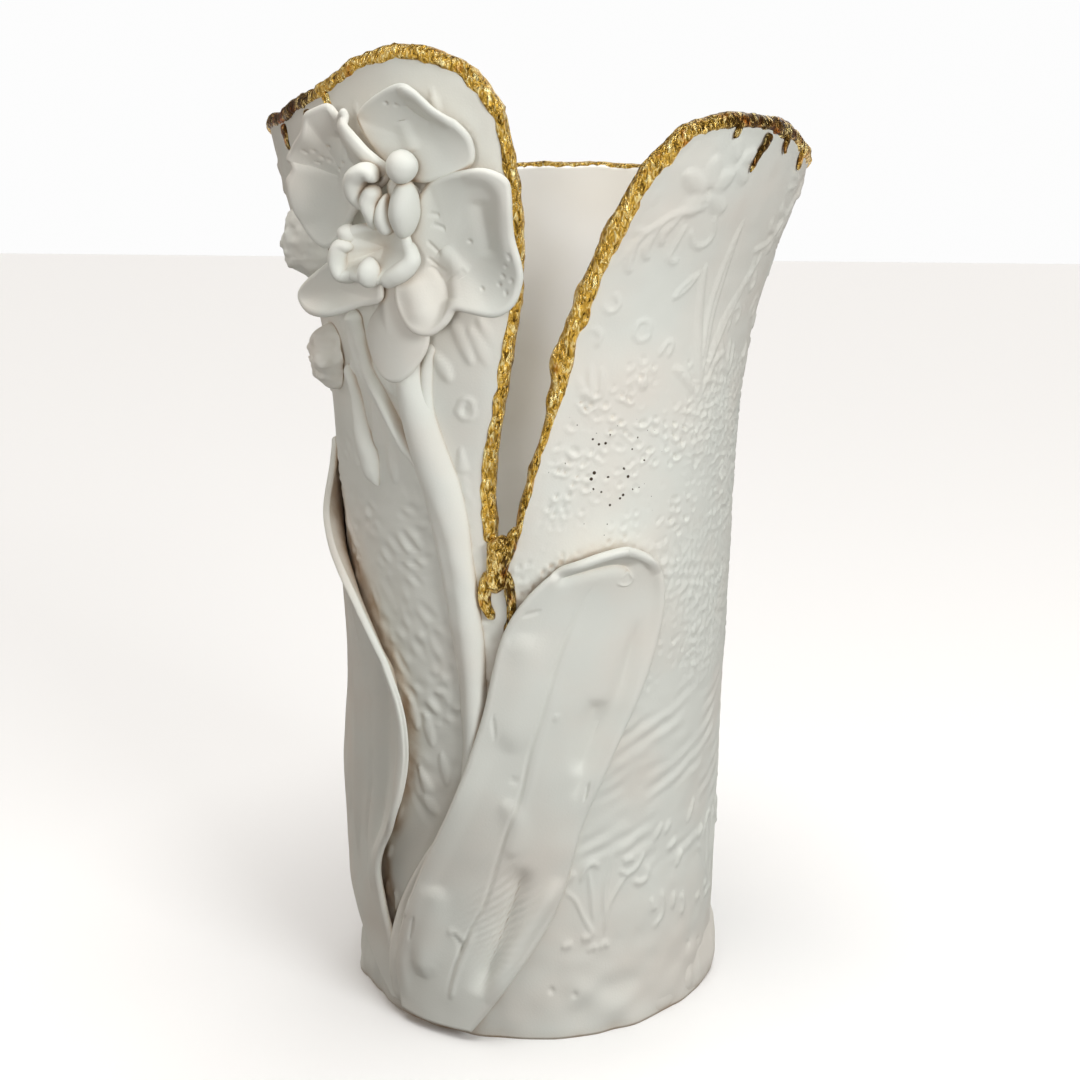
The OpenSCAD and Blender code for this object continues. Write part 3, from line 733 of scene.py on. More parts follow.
def relief(angle, height, edge_gap):
    """Height in millimetres of the pressed texture, and how large the pinholes are.

    edge_gap is the distance to the torn edge, towards which the texture was thumbed away.
    """
    place = wrap(angle, height)
    turn = (angle + 180) % 360 - 180
    share = turn / 360
    drift = 7 * noise(place, 40, 11)
    high = smooth(203, 213, height + drift)
    low = 1 - smooth(46, 57, height + 0.5 * drift)
    rows_of_ripple = smooth(46, 57, height + 0.5 * drift) * (1 - smooth(98, 114, height + drift))
    pumice = smooth(98, 114, height + drift) * (1 - high)
    left = smooth(-118, -104, turn) * (1 - smooth(-6, 2, turn))
    # Pumice: crescents 4 mm apart, each a pit with a raised lower lip, or a finer net of ridges.
    warp = noise(place, 6, 12)
    x = share * 96 + 0.4 * warp
    y = height / 4.4 + share * 14 + 0.4 * noise(place, 7, 13)
    nearest, _, above = cells(x, y, 96, 14)
    lip = np.exp(-((nearest - 0.3) / 0.11) ** 2) * smooth(0.2, -0.16, above)
    crescents = 0.6 * lip - 0.9 * np.exp(-(nearest / 0.17) ** 2)
    crescents = crescents * np.clip(0.7 + 1.2 * noise(place, 8, 26), 0.1, 1.2)
    nearest, second, _ = cells(share * 140 + 0.45 * warp, height / 3.7 + share * 18, 140, 25)
    net = 1 - smooth(0.02, 0.26, second - nearest)
    dots = np.exp(-(nearest / 0.16) ** 2)
    netted = smooth(-0.25, 0.25, noise(place, 24, 15) + (turn - 52) / 40)
    rough = mix(crescents, 0.8 * net + 0.45 * dots * smooth(150, 120, height) - 0.25, netted)
    rough = rough * (0.8 + 0.5 * noise(place, 10, 22))
    # Ripples about 5 mm apart: rising to the right, or falling to the right on the left side.
    swing = noise(place, 13, 16) + 0.4 * noise(place, 5, 24)
    rising = np.sin(2 * math.pi * (0.175 * height - 25 * share + 0.26 * swing))
    falling = np.sin(2 * math.pi * (0.165 * height + 44 * share + 0.5 * swing))
    falling = falling * (0.45 + 0.55 * np.sin(2 * math.pi * (0.09 * height - 36 * share + swing)))
    strength = np.clip(0.5 + 1.4 * noise(place, 9, 17), 0, 1.4)
    bricks = 0.7 * noise(place, (5, 5, 3.4), 23)
    field = pumice * (1 - left) * rough
    field = field + rows_of_ripple * (1 - left) * (0.24 * strength * rising + 0.2 * bricks)
    panel = left * smooth(64, 84, height) * (1 - smooth(170, 192, height))
    field = field + panel * (0.5 * strength * falling + 0.4 * bricks)
    field = field + (high + low) * 0.2 * noise(place, 5, 18)
    # The mats repeat round the vase, and each print landed a little higher or lower.
    for step in range(7):
        lift = 4 * math.sin(2.1 * step)
        field = press(field, angle, height, SPRAY, (46 * step, lift * (step > 0)))
        field = press(field, angle, height, FAN, (46 * step, lift * (step > 0)))
    for step in range(6):
        field = press(field, angle, height, TUFT, (52 * step, 2 * math.sin(1.7 * step)), soft=True)
    field = press(field, angle, height, LEFT_MARKS + FINGERS)
    field = field * smooth(1.5, 7, edge_gap) * smooth(6, 16, height)
    hand = 0.8 * noise(place, 48, 19) + 0.4 * noise(place, 19, 20) + 0.12 * noise(place, 8, 21)
    hand = hand + 0.7 * noise(place, 8, 27) * (1 - smooth(12, 28, height))
    field = field * mm("relief") + hand * smooth(0, 4, edge_gap)
    # The pinholes, where air in the clay burst, lie in one loose cluster beside the slit.
    cluster = np.exp(-(((turn - 28) / 14) ** 2 + ((height - 179) / 17) ** 2))
    return field, cluster


# ---------- the wall, its floor and its glaze ----------

def spaced(*stretches):
    """Numbers from the first start to the last end; each stretch is (start, end, step)."""
    parts = [np.linspace(a, b, max(int(round((b - a) / step)), 1), endpoint=False)
             for a, b, step in stretches]
    return np.append(np.concatenate(parts), stretches[-1][1])


def wall_normal(angle, height):
    """Outward unit normal of the smooth wall."""
    slope = wall_radius(angle, height + 0.5) - wall_radius(angle, height - 0.5)
    turn = np.radians(angle)
    normal = np.stack([np.sin(turn), -np.cos(turn), -slope], -1)
    return normal / np.linalg.norm(normal, axis=-1, keepdims=True)


def edge_gap(u, v):
    """Distance in millimetres to the torn edge, for points above the foot of the slit."""
    gap = np.minimum(np.minimum(u, 1 - u) * WING_WIDTH, (1 - v) * WING_HEIGHT)
    return np.where(v > 0, gap, np.hypot(np.maximum(gap, 0), -v * mm("slit_height")))


def zipped(fine, coarse, places):
    """Triangles between a fine run of points and a coarse one, whose points stand beside
    the fine ones at the given places."""
    faces = []
    i = j = 0
    while i < len(fine) - 1 or j < len(coarse) - 1:
        if j == len(coarse) - 1 or (i < len(fine) - 1 and i + 1 <= (places[j] + places[j + 1]) / 2):
            faces.append([int(fine[i]), int(fine[i + 1]), int(coarse[j])])
            i += 1
        else:
            faces.append([int(fine[i]), int(coarse[j + 1]), int(coarse[j])])
            j += 1
    return faces


def wall_grid(angles, low, high):
    """The wall's grid from the angles of its columns and the v of its low and high rows."""
    right, left = SLIT_FOOT
    gap = np.linspace(1, 360 / (left - right), 14)[1:-1]
    return WallGrid((angles - right) / (left - right), gap, low, high)


class WallGrid:
    """Columns round the wall, and more in the gap under the slit; rows below and above its foot."""

    def __init__(self, u, gap, low, high):
        self.u = u
        self.gap = gap
        self.low = low
        self.high = high

    def thinned(self, step):
        """The same grid with only every step-th column and row and its ends, and their numbers."""
        parts = (self.u, self.gap, self.low, self.high)
        kept = [np.unique(np.append(np.arange(0, len(part), step), len(part) - 1)) for part in parts]
        return WallGrid(*[part[n] for part, n in zip(parts, kept)]), kept

    def places(self, surface):
        """Points of the ring below and of the patch above, by surface(angle, height, u, v)."""
        below = np.meshgrid(self.low, np.concatenate([self.u, self.gap]), indexing="ij")
        above = np.meshgrid(self.high, self.u, indexing="ij")
        return [surface(*wall_at(u, v), u, v) for v, u in (below, above)]

    def numbers(self, first):
        """Point numbers of the ring and of the patch, whose lowest row is the ring's top."""
        around = len(self.u) + len(self.gap)
        ring = first + np.arange(len(self.low) * around).reshape(len(self.low), around)
        patch = first + ring.size + np.arange(len(self.high) * len(self.u))
        patch = np.concatenate([ring[-1:, :len(self.u)], patch.reshape(len(self.high), -1)])
        return ring, patch

    def mouth(self, ring, patch):
        """The open edge: along the foot of the slit, up its right side, round and down."""
        foot = np.append(ring[-1, len(self.u) - 1:], ring[-1, 0])
        return np.concatenate([foot, patch[1:, 0], patch[-1, 1:], patch[-2:0:-1, -1], foot[:1]])


def wall_solid(fine, outside, inside):
    """A closed wall: a fine outer skin and a coarse inner one, joined at the torn edge and
    underneath. Returns its points, its faces and how large the pinholes are."""
    coarse, (columns, gaps, _, highs) = fine.thinned(4)
    skin, marks = zip(*fine.places(outside))
    lining = coarse.places(inside)
    ring, patch = fine.numbers(0)
    count = ring.size + patch.size - len(fine.u)
    inner_ring, inner_patch = coarse.numbers(count)
    points = np.concatenate([part.reshape(-1, 3) for part in (*skin, *lining)])
    faces = np.concatenate([quads(ring, True), quads(patch), quads(inner_ring, True)[:, ::-1],
                            quads(inner_patch)[:, ::-1]]).tolist()
    across = len(fine.u)
    foot = [0, *(gaps + 1), len(fine.gap) + 1]
    right = foot[-1] + 1 + highs
    top = right[-1] + columns[1:]
    left = top[-1] + len(fine.high) - 1 - highs[-2::-1]
    places = [*foot, *right, *top, *left, left[-1] + 1]
    faces += zipped(fine.mouth(ring, patch), coarse.mouth(inner_ring, inner_patch), places)
    under = [*columns, *(across + gaps), across + len(fine.gap)]
    under = [under[-1] - n for n in under][::-1]
    faces += zipped(np.append(ring[0], ring[0, 0])[::-1],
                    np.append(inner_ring[0], inner_ring[0, 0])[::-1], under)
    marks = np.concatenate([part.ravel() for part in marks])
    return points, faces, np.append(marks, np.zeros(len(points) - len(marks)))


def turned(profile, around, closed=False, bumps=0.0, seed=0):
    """Loops round a turned shape from its [radius, height] profile, uneven by bumps.

    A closed profile gives one loop for each cut through the ring instead.
    """
    turn = np.linspace(0, 2 * math.pi, around, endpoint=False)
    radius, height = np.asarray(profile, float).T
    loops = np.stack([radius[:, None] * np.sin(turn), -radius[:, None] * np.cos(turn),
                      np.repeat(height[:, None], around, 1)], -1)
    wave = bumps * (noise(loops, 17, seed) + 0.5 * noise(loops, 6, seed + 1))
    loops[..., 2] = np.maximum(loops[..., 2] + wave * smooth(5, 20, radius)[:, None], 0)
    return loops.transpose(1, 0, 2) if closed else loops


class VASE_OT_wall(bpy.types.Operator):
    """Builds the slab wall with its pressed texture, pinholes and torn edge"""

    bl_idname = "vase.wall"
    bl_label = "Wall"

    def execute(self, context):
        # The columns stand closest where the finest marks are, and widest apart at the back.
        angles = spaced((4, 10, 0.65), (10, 44, 0.5), (44, 100, 0.65), (100, 246, 1.15),
                        (246, 356, 0.65))
        low = spaced((-1, 0, 0.0053))
        high = spaced((0, 0.35, 0.0052), (0.35, 1, 0.0068))[1:]

        def outside(angle, height, u, v):
            rise, pinhole = relief(angle, height, edge_gap(u, v))
            return wrap(angle, height) + wall_normal(angle, height) * rise[..., None], pinhole

        def inside(angle, height, u, v):
            return wrap(angle, height, -mm("wall"))

        points, faces, pinhole = wall_solid(wall_grid(angles, low, high), outside, inside)
        add_clay("wall", (points, faces), "body_wall", marks={"pinhole": pinhole})
        return {"FINISHED"}


class VASE_OT_foot(bpy.types.Operator):
    """Builds the floor slab and the thumbed band of clay round the foot"""

    bl_idname = "vase.foot"
    bl_label = "Foot and floor"

    def execute(self, context):
        top = mm("floor")
        radius = FLOOR_RADIUS / MM
        profile = [[0.01, 0.9], [14, 0.9], [30, 0.8], [44, 0.5], [radius - 1, 0.1], [radius, 0.8],
                   [radius, top - 0.6], [radius - 0.6, top], [30, top], [0.01, top]]
        rounded = even(profile, np.linspace(0, 1, 48))
        add_clay("floor_slab", loft(turned(rounded, 96, bumps=0.25, seed=31)), "floor_disc")
        add_clay("foot_band", self.band(), "foot_band")
        return {"FINISHED"}

    def band(self):
        """A band pressed on by thumb: dented every centimetre or so and ragged below."""
        foot = mm("foot_radius")
        high = FOOT_HEIGHT / MM
        section = [[foot - 1.2, 0.6], [foot, 0], [foot + 0.7, 0.3], [foot + 1.2, 2.4], [foot + 1.4, 6],
                   [foot + 1.1, 0.5 * high], [foot + 0.5, 0.75 * high], [foot - 0.1, 0.95 * high],
                   [foot - 0.8, high], [foot - 1.6, 0.7 * high]]
        section = even(section, np.linspace(0, 1, 40, endpoint=False), closed=True)
        loops = turned(section, 540, closed=True)
        angle = np.degrees(np.arctan2(loops[..., 0], -loops[..., 1]))
        share = np.clip(loops[..., 2] / high, 0, 1)
        bearing = np.linspace(0, 360, 540, endpoint=False)[:, None]
        thumb = 0.9 * wobble(bearing, 9, 32) + 0.5 * wobble(bearing, 3.7, 33)
        chipped = smooth(0.1, 0.7, wobble(bearing, 13, 34)) * (1 - smooth(0, 0.3, share))
        lumps = 0.8 * noise(loops, 12, 35) + 0.35 * noise(loops, 4.5, 36)
        knuckles = 1.6 * np.exp(-((bearing - 284) / 17) ** 2) * noise(loops, 8, 38)
        out = wrap(angle, loops[..., 2]) * [1, 1, 0]
        out = out / np.linalg.norm(out, axis=-1, keepdims=True)
        outer = smooth(-0.4, 0.6, np.linalg.norm(loops[..., :2], axis=-1) - foot)
        push = thumb * np.sin(math.pi * np.clip(share + 0.15, 0, 1)) + lumps + knuckles - 1.3 * chipped
        push = push * outer
        # In front the band is smoothed down until it lies within the wall.
        calm = np.exp(-(((bearing - 25 + 180) % 360 - 180) / 52) ** 4)
        loops = loops + out * (push * (1 - 0.6 * calm) - 2.2 * calm)[..., None]
        loops[..., 2] *= 1 + 0.16 * smooth(0.5, 1, share) * wobble(bearing, 15, 37)
        return loft(loops, closed=True)


class VASE_OT_lining(bpy.types.Operator):
    """Builds the coat of clear glaze over the whole inside"""

    bl_idname = "vase.lining"
    bl_label = "Glaze lining"

    def execute(self, context):
        glaze = finish("clear_glazed_porcelain", clear_glaze)
        add_piece("glaze_lining", self.cup(), glaze, "glaze_lining")
        return {"FINISHED"}

    def cup(self):
        """Two skins that share the wall's torn edge, each with its own rounded floor."""
        angles = spaced((*SLIT_FOOT, 1.8))
        grid = wall_grid(angles, spaced((-0.93, 0, 0.011)), spaced((0, 1, 0.013))[1:])
        base = mm("floor")
        sheets, first = [], 0
        for off, floor, corner in ((-mm("wall") - 0.05, base + 0.05, 1.5),
                                   (-mm("wall") - mm("glaze"), base + mm("glaze"), 5.0)):
            below, above = grid.places(lambda angle, height, u, v, off=off: wrap(angle, height, off))
            lowest = below[0]
            radius = np.linalg.norm(lowest[:, :2], axis=1)
            spoke = lowest * [1, 1, 0] / radius[:, None]
            bottom = [spoke * (radius - corner)[:, None] * share + [0, 0, floor]
                      for share in np.linspace(0, 1, 14)]
            bottom += [spoke * (radius - corner + corner * math.sin(bend))[:, None]
                       + [0, 0, floor + corner * (1 - math.cos(bend))]
                       for bend in np.linspace(0, math.pi / 2, 7)[1:]]
            below = np.concatenate([np.array(bottom), below[below[:, 0, 2] > floor + corner + 0.2]])
            wave = 0.3 * noise(below, 30, 41) + 0.12 * noise(below, 11, 42)
            below[..., :2] *= 1 + (wave * smooth(8, 20, below[..., 2]) / 60)[..., None] * (first > 0)
            count, around = below.shape[:2]
            ring = first + np.arange(count * around).reshape(count, around)
            patch = first + ring.size + np.arange(above[..., 0].size).reshape(above.shape[:2])
            patch = np.concatenate([ring[-1:, :len(grid.u)], patch])
            mouth = grid.mouth(ring, patch)
            ring[0] = ring[0, 0]
            points = np.concatenate([below.reshape(-1, 3), above.reshape(-1, 3)])
            sheets.append((points, ring, patch, mouth))
            first += len(points)
        (outer, ring, patch, edge), (inner, in_ring, in_patch, in_edge) = sheets
        faces = np.concatenate([quads(ring, True), quads(patch), quads(in_ring, True)[:, ::-1],
                                quads(in_patch)[:, ::-1],
                                np.stack([edge[:-1], edge[1:], in_edge[1:], in_edge[:-1]], -1)])
        return np.concatenate([outer, inner]), trimmed(faces)


# ---------- gilding ----------

def edge_run(start, end):
    """u and v of stations some 0.75 mm apart along the torn edge.

    The edge runs from 0 to 1 up the right side of the slit, to 2 round the rim and to 3
    down the left side.
    """
    corners = np.array([[0, 0], [0, 1], [1, 1], [1, 0]], float)
    lengths = [WING_HEIGHT, WING_WIDTH, WING_HEIGHT]
    runs = []
    for leg in range(3):
        low, high = max(start, leg), min(end, leg + 1)
        if high > low:
            share = np.arange(low, high, 0.75 / lengths[leg]) - leg
            runs.append(mix(corners[leg], corners[leg + 1], share[:, None]))
    last = min(int(end), 2)
    runs.append(mix(corners[last], corners[last + 1], end - last)[None])
    return np.concatenate(runs).T


def blurred(rows, reach):
    """Rows averaged over their neighbours."""
    padded = np.concatenate([rows[:1]] * reach + [rows] + [rows[-1:]] * reach)
    return sum(padded[n:n + len(rows)] for n in range(2 * reach + 1)) / (2 * reach + 1)


def unit(rows):
    """Rows scaled to a length of one."""
    return rows / np.maximum(np.linalg.norm(rows, axis=-1, keepdims=True), 1e-9)


def bead(start, end, knobs=()):
    """A crinkled bead of gilded clay over the torn edge, lapping on to both its faces."""
    u, v = edge_run(start, end)
    angle, height = wall_at(u, v)
    outer = wrap(angle, height)
    inner = wrap(angle, height, -mm("wall"))
    middle = (outer + inner) / 2
    along = unit(np.gradient(blurred(middle, 2), axis=0))
    across = unit(outer - inner)
    off = np.cross(across, along)
    top = v > 0.98
    upward = off[top][:, 2].sum() if top.any() else -off[:, 0].sum() * (1 if start < 1 else -1)
    off = unit(blurred(off if upward > 0 else -off, 5))
    front, back = mm("gilt"), mm("gilt_back")
    tall = np.interp(angle, [80, 105, 250, 270], [front, back, back, front])
    swell = 0.3 * noise(middle, 9, 51) + 0.15 * noise(middle, 3.5, 52)
    for knob, size in knobs:
        swell = swell + size * np.exp(-((height - knob) / 4.6) ** 2) * (v < 1)
    # Slimmer low on the right side of the slit, and a little up its left side.
    slim = np.where(u < 0.5, 0.5 * smooth(208, 190, height), 0.2 * smooth(172, 190, height))
    slim = 1 - (v < 1) * slim
    swell = swell * slim
    tall = tall * slim
    lap = 0.4 + slim + 2.2 * slim * np.clip(noise(outer, 7, 53) + 0.4 * noise(outer, 2.5, 54), 0, 1)
    turn = np.linspace(0, 2 * math.pi, 28, endpoint=False)
    side = np.sign(np.cos(turn)) * np.abs(np.cos(turn)) ** 0.75
    wide = mm("wall") / 2 + 0.45 + 0.35 * tall / front + 0.5 * swell
    rise = np.sin(turn) * np.where(np.sin(turn) > 0, (tall + swell)[:, None], lap[:, None])
    loops = (middle[:, None] + across[:, None] * (wide[:, None] * side)[..., None]
             + off[:, None] * rise[..., None])
    away = unit(across[:, None] * side[:, None] + off[:, None] * np.sin(turn)[:, None])
    crinkle = 0.34 * noise(loops, (1.7, 1.7, 5), 55) + 0.2 * noise(loops, (1, 1, 2.4), 56)
    crinkle = crinkle + 0.3 * noise(loops, 7, 57)
    loops = loops + away * (crinkle * np.interp(tall, [1, 3], [0.6, 1])[:, None])[..., None]
    ends = np.minimum(np.arange(len(loops)), np.arange(len(loops))[::-1])
    close = np.sqrt(np.clip(1 - (1 - np.clip(ends / 3, 0, 1)) ** 2, 0.01, 1))[:, None, None]
    return loft(middle[:, None] + (loops - middle[:, None]) * close)


def pooled(points):
    """How thickly the lustre pooled: most on the crest of the right wing and the far left rim."""
    angle = np.degrees(np.arctan2(points[:, 0], -points[:, 1]))
    height = points[:, 2]
    right = np.exp(-((angle - 58) / 17) ** 2) * smooth(255, 268, height)
    left = smooth(-80, -64, angle) * (1 - smooth(-44, -34, angle)) * smooth(255, 270, height)
    seam = (1 - smooth(155, 200, height)) * smooth(-3, 2, angle) + 0.4 * (1 - smooth(150, 162, height))
    return 0.2 * right + 0.2 * left + 0.09 * seam


# ---------- rolled strips, balls, leaves and petals ----------

def strip(path, along, around, lumps, sunk=0.9, grain=5.0, seed=60, oval=False, marks=()):
    """A rolled strip of clay pressed on the wall, from rows of [angle, height, off, width, depth].

    Its back lies sunk millimetres below its path. An oval one tapers from its middle.
    """
    share = crowded(along)
    rows = even(path, share)
    centre = wrap3(rows)
    run = np.linalg.norm(np.diff(centre, axis=0), axis=1)
    run = np.append(0, run.cumsum())
    gap = np.minimum(run, run[-1] - run)
    blunt = run[-1] / 2 if oval else rows[:, 3].mean() * 0.6
    taper = np.sqrt(np.clip(1 - (1 - np.clip(gap / blunt, 0, 1)) ** 2, 0.0004, 1))
    ahead = unit(np.gradient(centre, axis=0))
    turn = np.radians(rows[:, 0])
    out = np.stack([np.sin(turn), -np.cos(turn), 0 * turn], -1)
    side = unit(np.cross(ahead, out))
    out = unit(np.cross(side, ahead))
    spin = np.linspace(0, 2 * math.pi, around, endpoint=False)
    up = np.where(np.sin(spin) > 0, rows[:, 4:5] * np.sin(spin), sunk * np.sin(spin))
    wide = rows[:, 3:4] / 2 * np.cos(spin)
    section = side[:, None] * wide[..., None] + out[:, None] * up[..., None]
    loops = centre[:, None] + section * taper[:, None, None]
    away = unit(side[:, None] * np.cos(spin)[:, None] + out[:, None] * np.sin(spin)[:, None])
    push = lumps * (noise(loops, grain, seed) + 0.4 * noise(loops, np.multiply(grain, 0.4), seed + 1))
    if marks:
        angle = np.degrees(np.arctan2(loops[..., 0], -loops[..., 1]))
        field = press(np.zeros(angle.shape), angle, loops[..., 2].copy(), marks, soft=True)
        push = push + field * smooth(0, 0.4, np.sin(spin))
    return loft(loops + away * (push * taper[:, None])[..., None])


def ball(low, high, width, depth, along=26, around=24, **how):
    """An oval of clay between two [angle, height, off] ends."""
    low, high = np.array(low, float), np.array(high, float)
    path = [np.append(mix(low, high, share), [width, depth]) for share in (0, 0.5, 1)]
    return strip(path, along, around, oval=True, **{"sunk": depth * 0.5, **how})


def leaf(left, middle, right, thickness, along, across, bend, marks, lift=None):
    """A leaf from rows of [angle, height, off] down its left margin, middle and right margin.

    bend are marks that move the whole sheet, marks only press its face, and lift gives
    the face's fine relief from its angle and height.
    """
    share = crowded(along)
    left, middle, right = [even(rows, share)[:, None] for rows in (left, middle, right)]
    place = (2 * crowded(across) - 1)[None, :, None]
    rows = middle + place * (right - left) / 2 + place ** 2 * ((left + right) / 2 - middle)
    angle, height, off = rows[..., 0], rows[..., 1], rows[..., 2]
    hand = wrap(angle, height)
    off = off + 0.35 * noise(hand, 22, 71) + 0.2 * noise(hand, 8, 72)
    off = off + press(np.zeros(angle.shape), angle, height, bend, soft=True)
    sheet = wrap(angle, height, off + thickness / 2)
    half = rim_half(sheet, thickness, False)
    face = press(np.zeros(angle.shape), angle, height, marks, soft=True)
    if lift:
        face = face + lift(angle, height)
    return shell(sheet, half, face * smooth(0.2, 1, 2 * half / thickness), False)


def petal(outline, centre, cup, seed, bend=(), marks=(), ruffle=0.5, thickness=None):
    """A cupped petal from the [angle, height, off] points round its margin and its centre."""
    spoke = np.linspace(0, 1, 200, endpoint=False)
    reach = np.sin(np.linspace(0, math.pi / 2, 64))[:, None, None]
    margin = even(outline, spoke, closed=True)[None]
    centre = np.array(centre, float)
    rows = centre + (margin - centre) * reach
    angle, height = rows[..., 0], rows[..., 1]
    off = mix(centre[2], margin[..., 2], reach[..., 0] ** cup)
    hand = wrap(angle, height)
    off = off + ruffle * smooth(0.5, 1, reach[..., 0]) * noise(hand, 9, seed)
    off = off + 0.25 * noise(hand, 6, seed + 1) * smooth(0, 0.2, reach[..., 0])
    off = off + press(np.zeros(angle.shape), angle, height, bend, soft=True)
    sheet = wrap(angle, height, off + mm("petal") / 2)
    half = rim_half(sheet, thickness or mm("petal"), True)
    face = press(np.zeros(angle.shape), angle, height, marks, soft=True)
    return shell(sheet, half, face * smooth(0.2, 1, 2 * half / mm("petal")), True)


class VASE_OT_gilding(bpy.types.Operator):
    """Builds the gilded bead along the torn edge, its drips and the knot under the slit"""

    bl_idname = "vase.gilding"
    bl_label = "Gilding"

    def execute(self, context):
        # Stations on the torn edge where the rim of one wing passes into the back.
        right_to, left_from = 1 + 16 / 60, 1 + 44 / 60
        right_drips = [
            [[59, 273, 0.2, 3, 1.2], [58, 270, 0.2, 2.6, 0.9], [56.4, 267, 0.2, 1.6, 0.8],
             [55, 262.5, 0.2, 1, 0.6]],
            [[50, 276, 0.2, 3, 1], [49.5, 273.5, 0.2, 2, 0.8], [48.6, 271.5, 0.2, 1, 0.6]],
            [[66, 273, 0.2, 2.6, 1], [65.5, 269.5, 0.2, 1.8, 0.8], [66, 267.5, 0.2, 1, 0.6]],
            [[75.5, 270.5, 0.2, 3, 1], [75, 266, 0.2, 2.2, 0.8], [75.6, 263, 0.2, 1.2, 0.6]],
        ]
        left_drips = [
            [[-34, 283.5, 0.2, 3, 1], [-33, 280, 0.2, 2.2, 0.8], [-31.4, 277.5, 0.2, 1.2, 0.6]],
            [[-40, 279.5, 0.2, 5, 1], [-40.4, 275, 0.2, 4, 0.8], [-39.6, 271.5, 0.2, 2, 0.6]],
            [[-52, 276, 0.2, 4, 1], [-52, 271, 0.2, 3, 0.8], [-51, 268.5, 0.2, 1.4, 0.6]],
        ]
        knobs = ((199, 0.7), (212, 1.7), (230, 1.0), (246, 0.7))
        self.gild("gilt_rim_right", [bead(0, right_to, knobs)] + self.drips(right_drips))
        self.gild("gilt_rim_back", [bead(right_to, left_from)])
        self.gild("gilt_rim_left", [bead(left_from, 3)] + self.drips(left_drips))
        trunk = [[0.6, 161.5, -0.6, 5, 3], [0.2, 158.5, 0, 8, 4], [-0.6, 154, 0, 7, 4],
                 [-1.2, 150, 0, 6, 3.6], [-1.6, 146.5, 0, 7.4, 3.4], [-1.7, 144, 0, 5, 2]]
        joint = [[3.8, 164, -0.4, 3, 2.6], [3, 160, -0.2, 3.6, 3.2], [1.4, 155.5, 0, 4, 3.6],
                 [0.2, 152, 0, 2.4, 2.4]]
        left = [[-2.6, 151, 0, 3.6, 2.8], [-4.4, 145.5, 0, 3.4, 3], [-4.2, 140, 0, 3.2, 2.6],
                [-2.2, 136, 0, 2.8, 2]]
        right = [[0, 151, 0, 3.6, 2.8], [2.4, 146, 0, 3.4, 3], [3, 139.5, 0, 3, 2.6],
                 [1.6, 133.5, 0, 2, 1.4], [1, 131, 0, 1.2, 0.8]]
        parts = [strip(path, 70, 40, lumps=0.45, grain=(1.6, 1.6, 5), seed=58 + n)
                 for n, path in enumerate((trunk, joint, left, right))]
        self.gild("gilt_seam", parts)
        return {"FINISHED"}

    def drips(self, paths):
        """Drips of lustre down the face of the wall."""
        return [strip(path, 24, 14, sunk=0.4, lumps=0.2, grain=1.6) for path in paths]

    def gild(self, node, parts):
        """Joins some gilded parts into one piece."""
        points, faces = join(parts)
        gold = finish("brushed_gold_lustre", gold_lustre)
        add_piece(node.replace("gilt", "gilded"), (points, faces), gold, node,
                  marks={"pooled": pooled(points)})


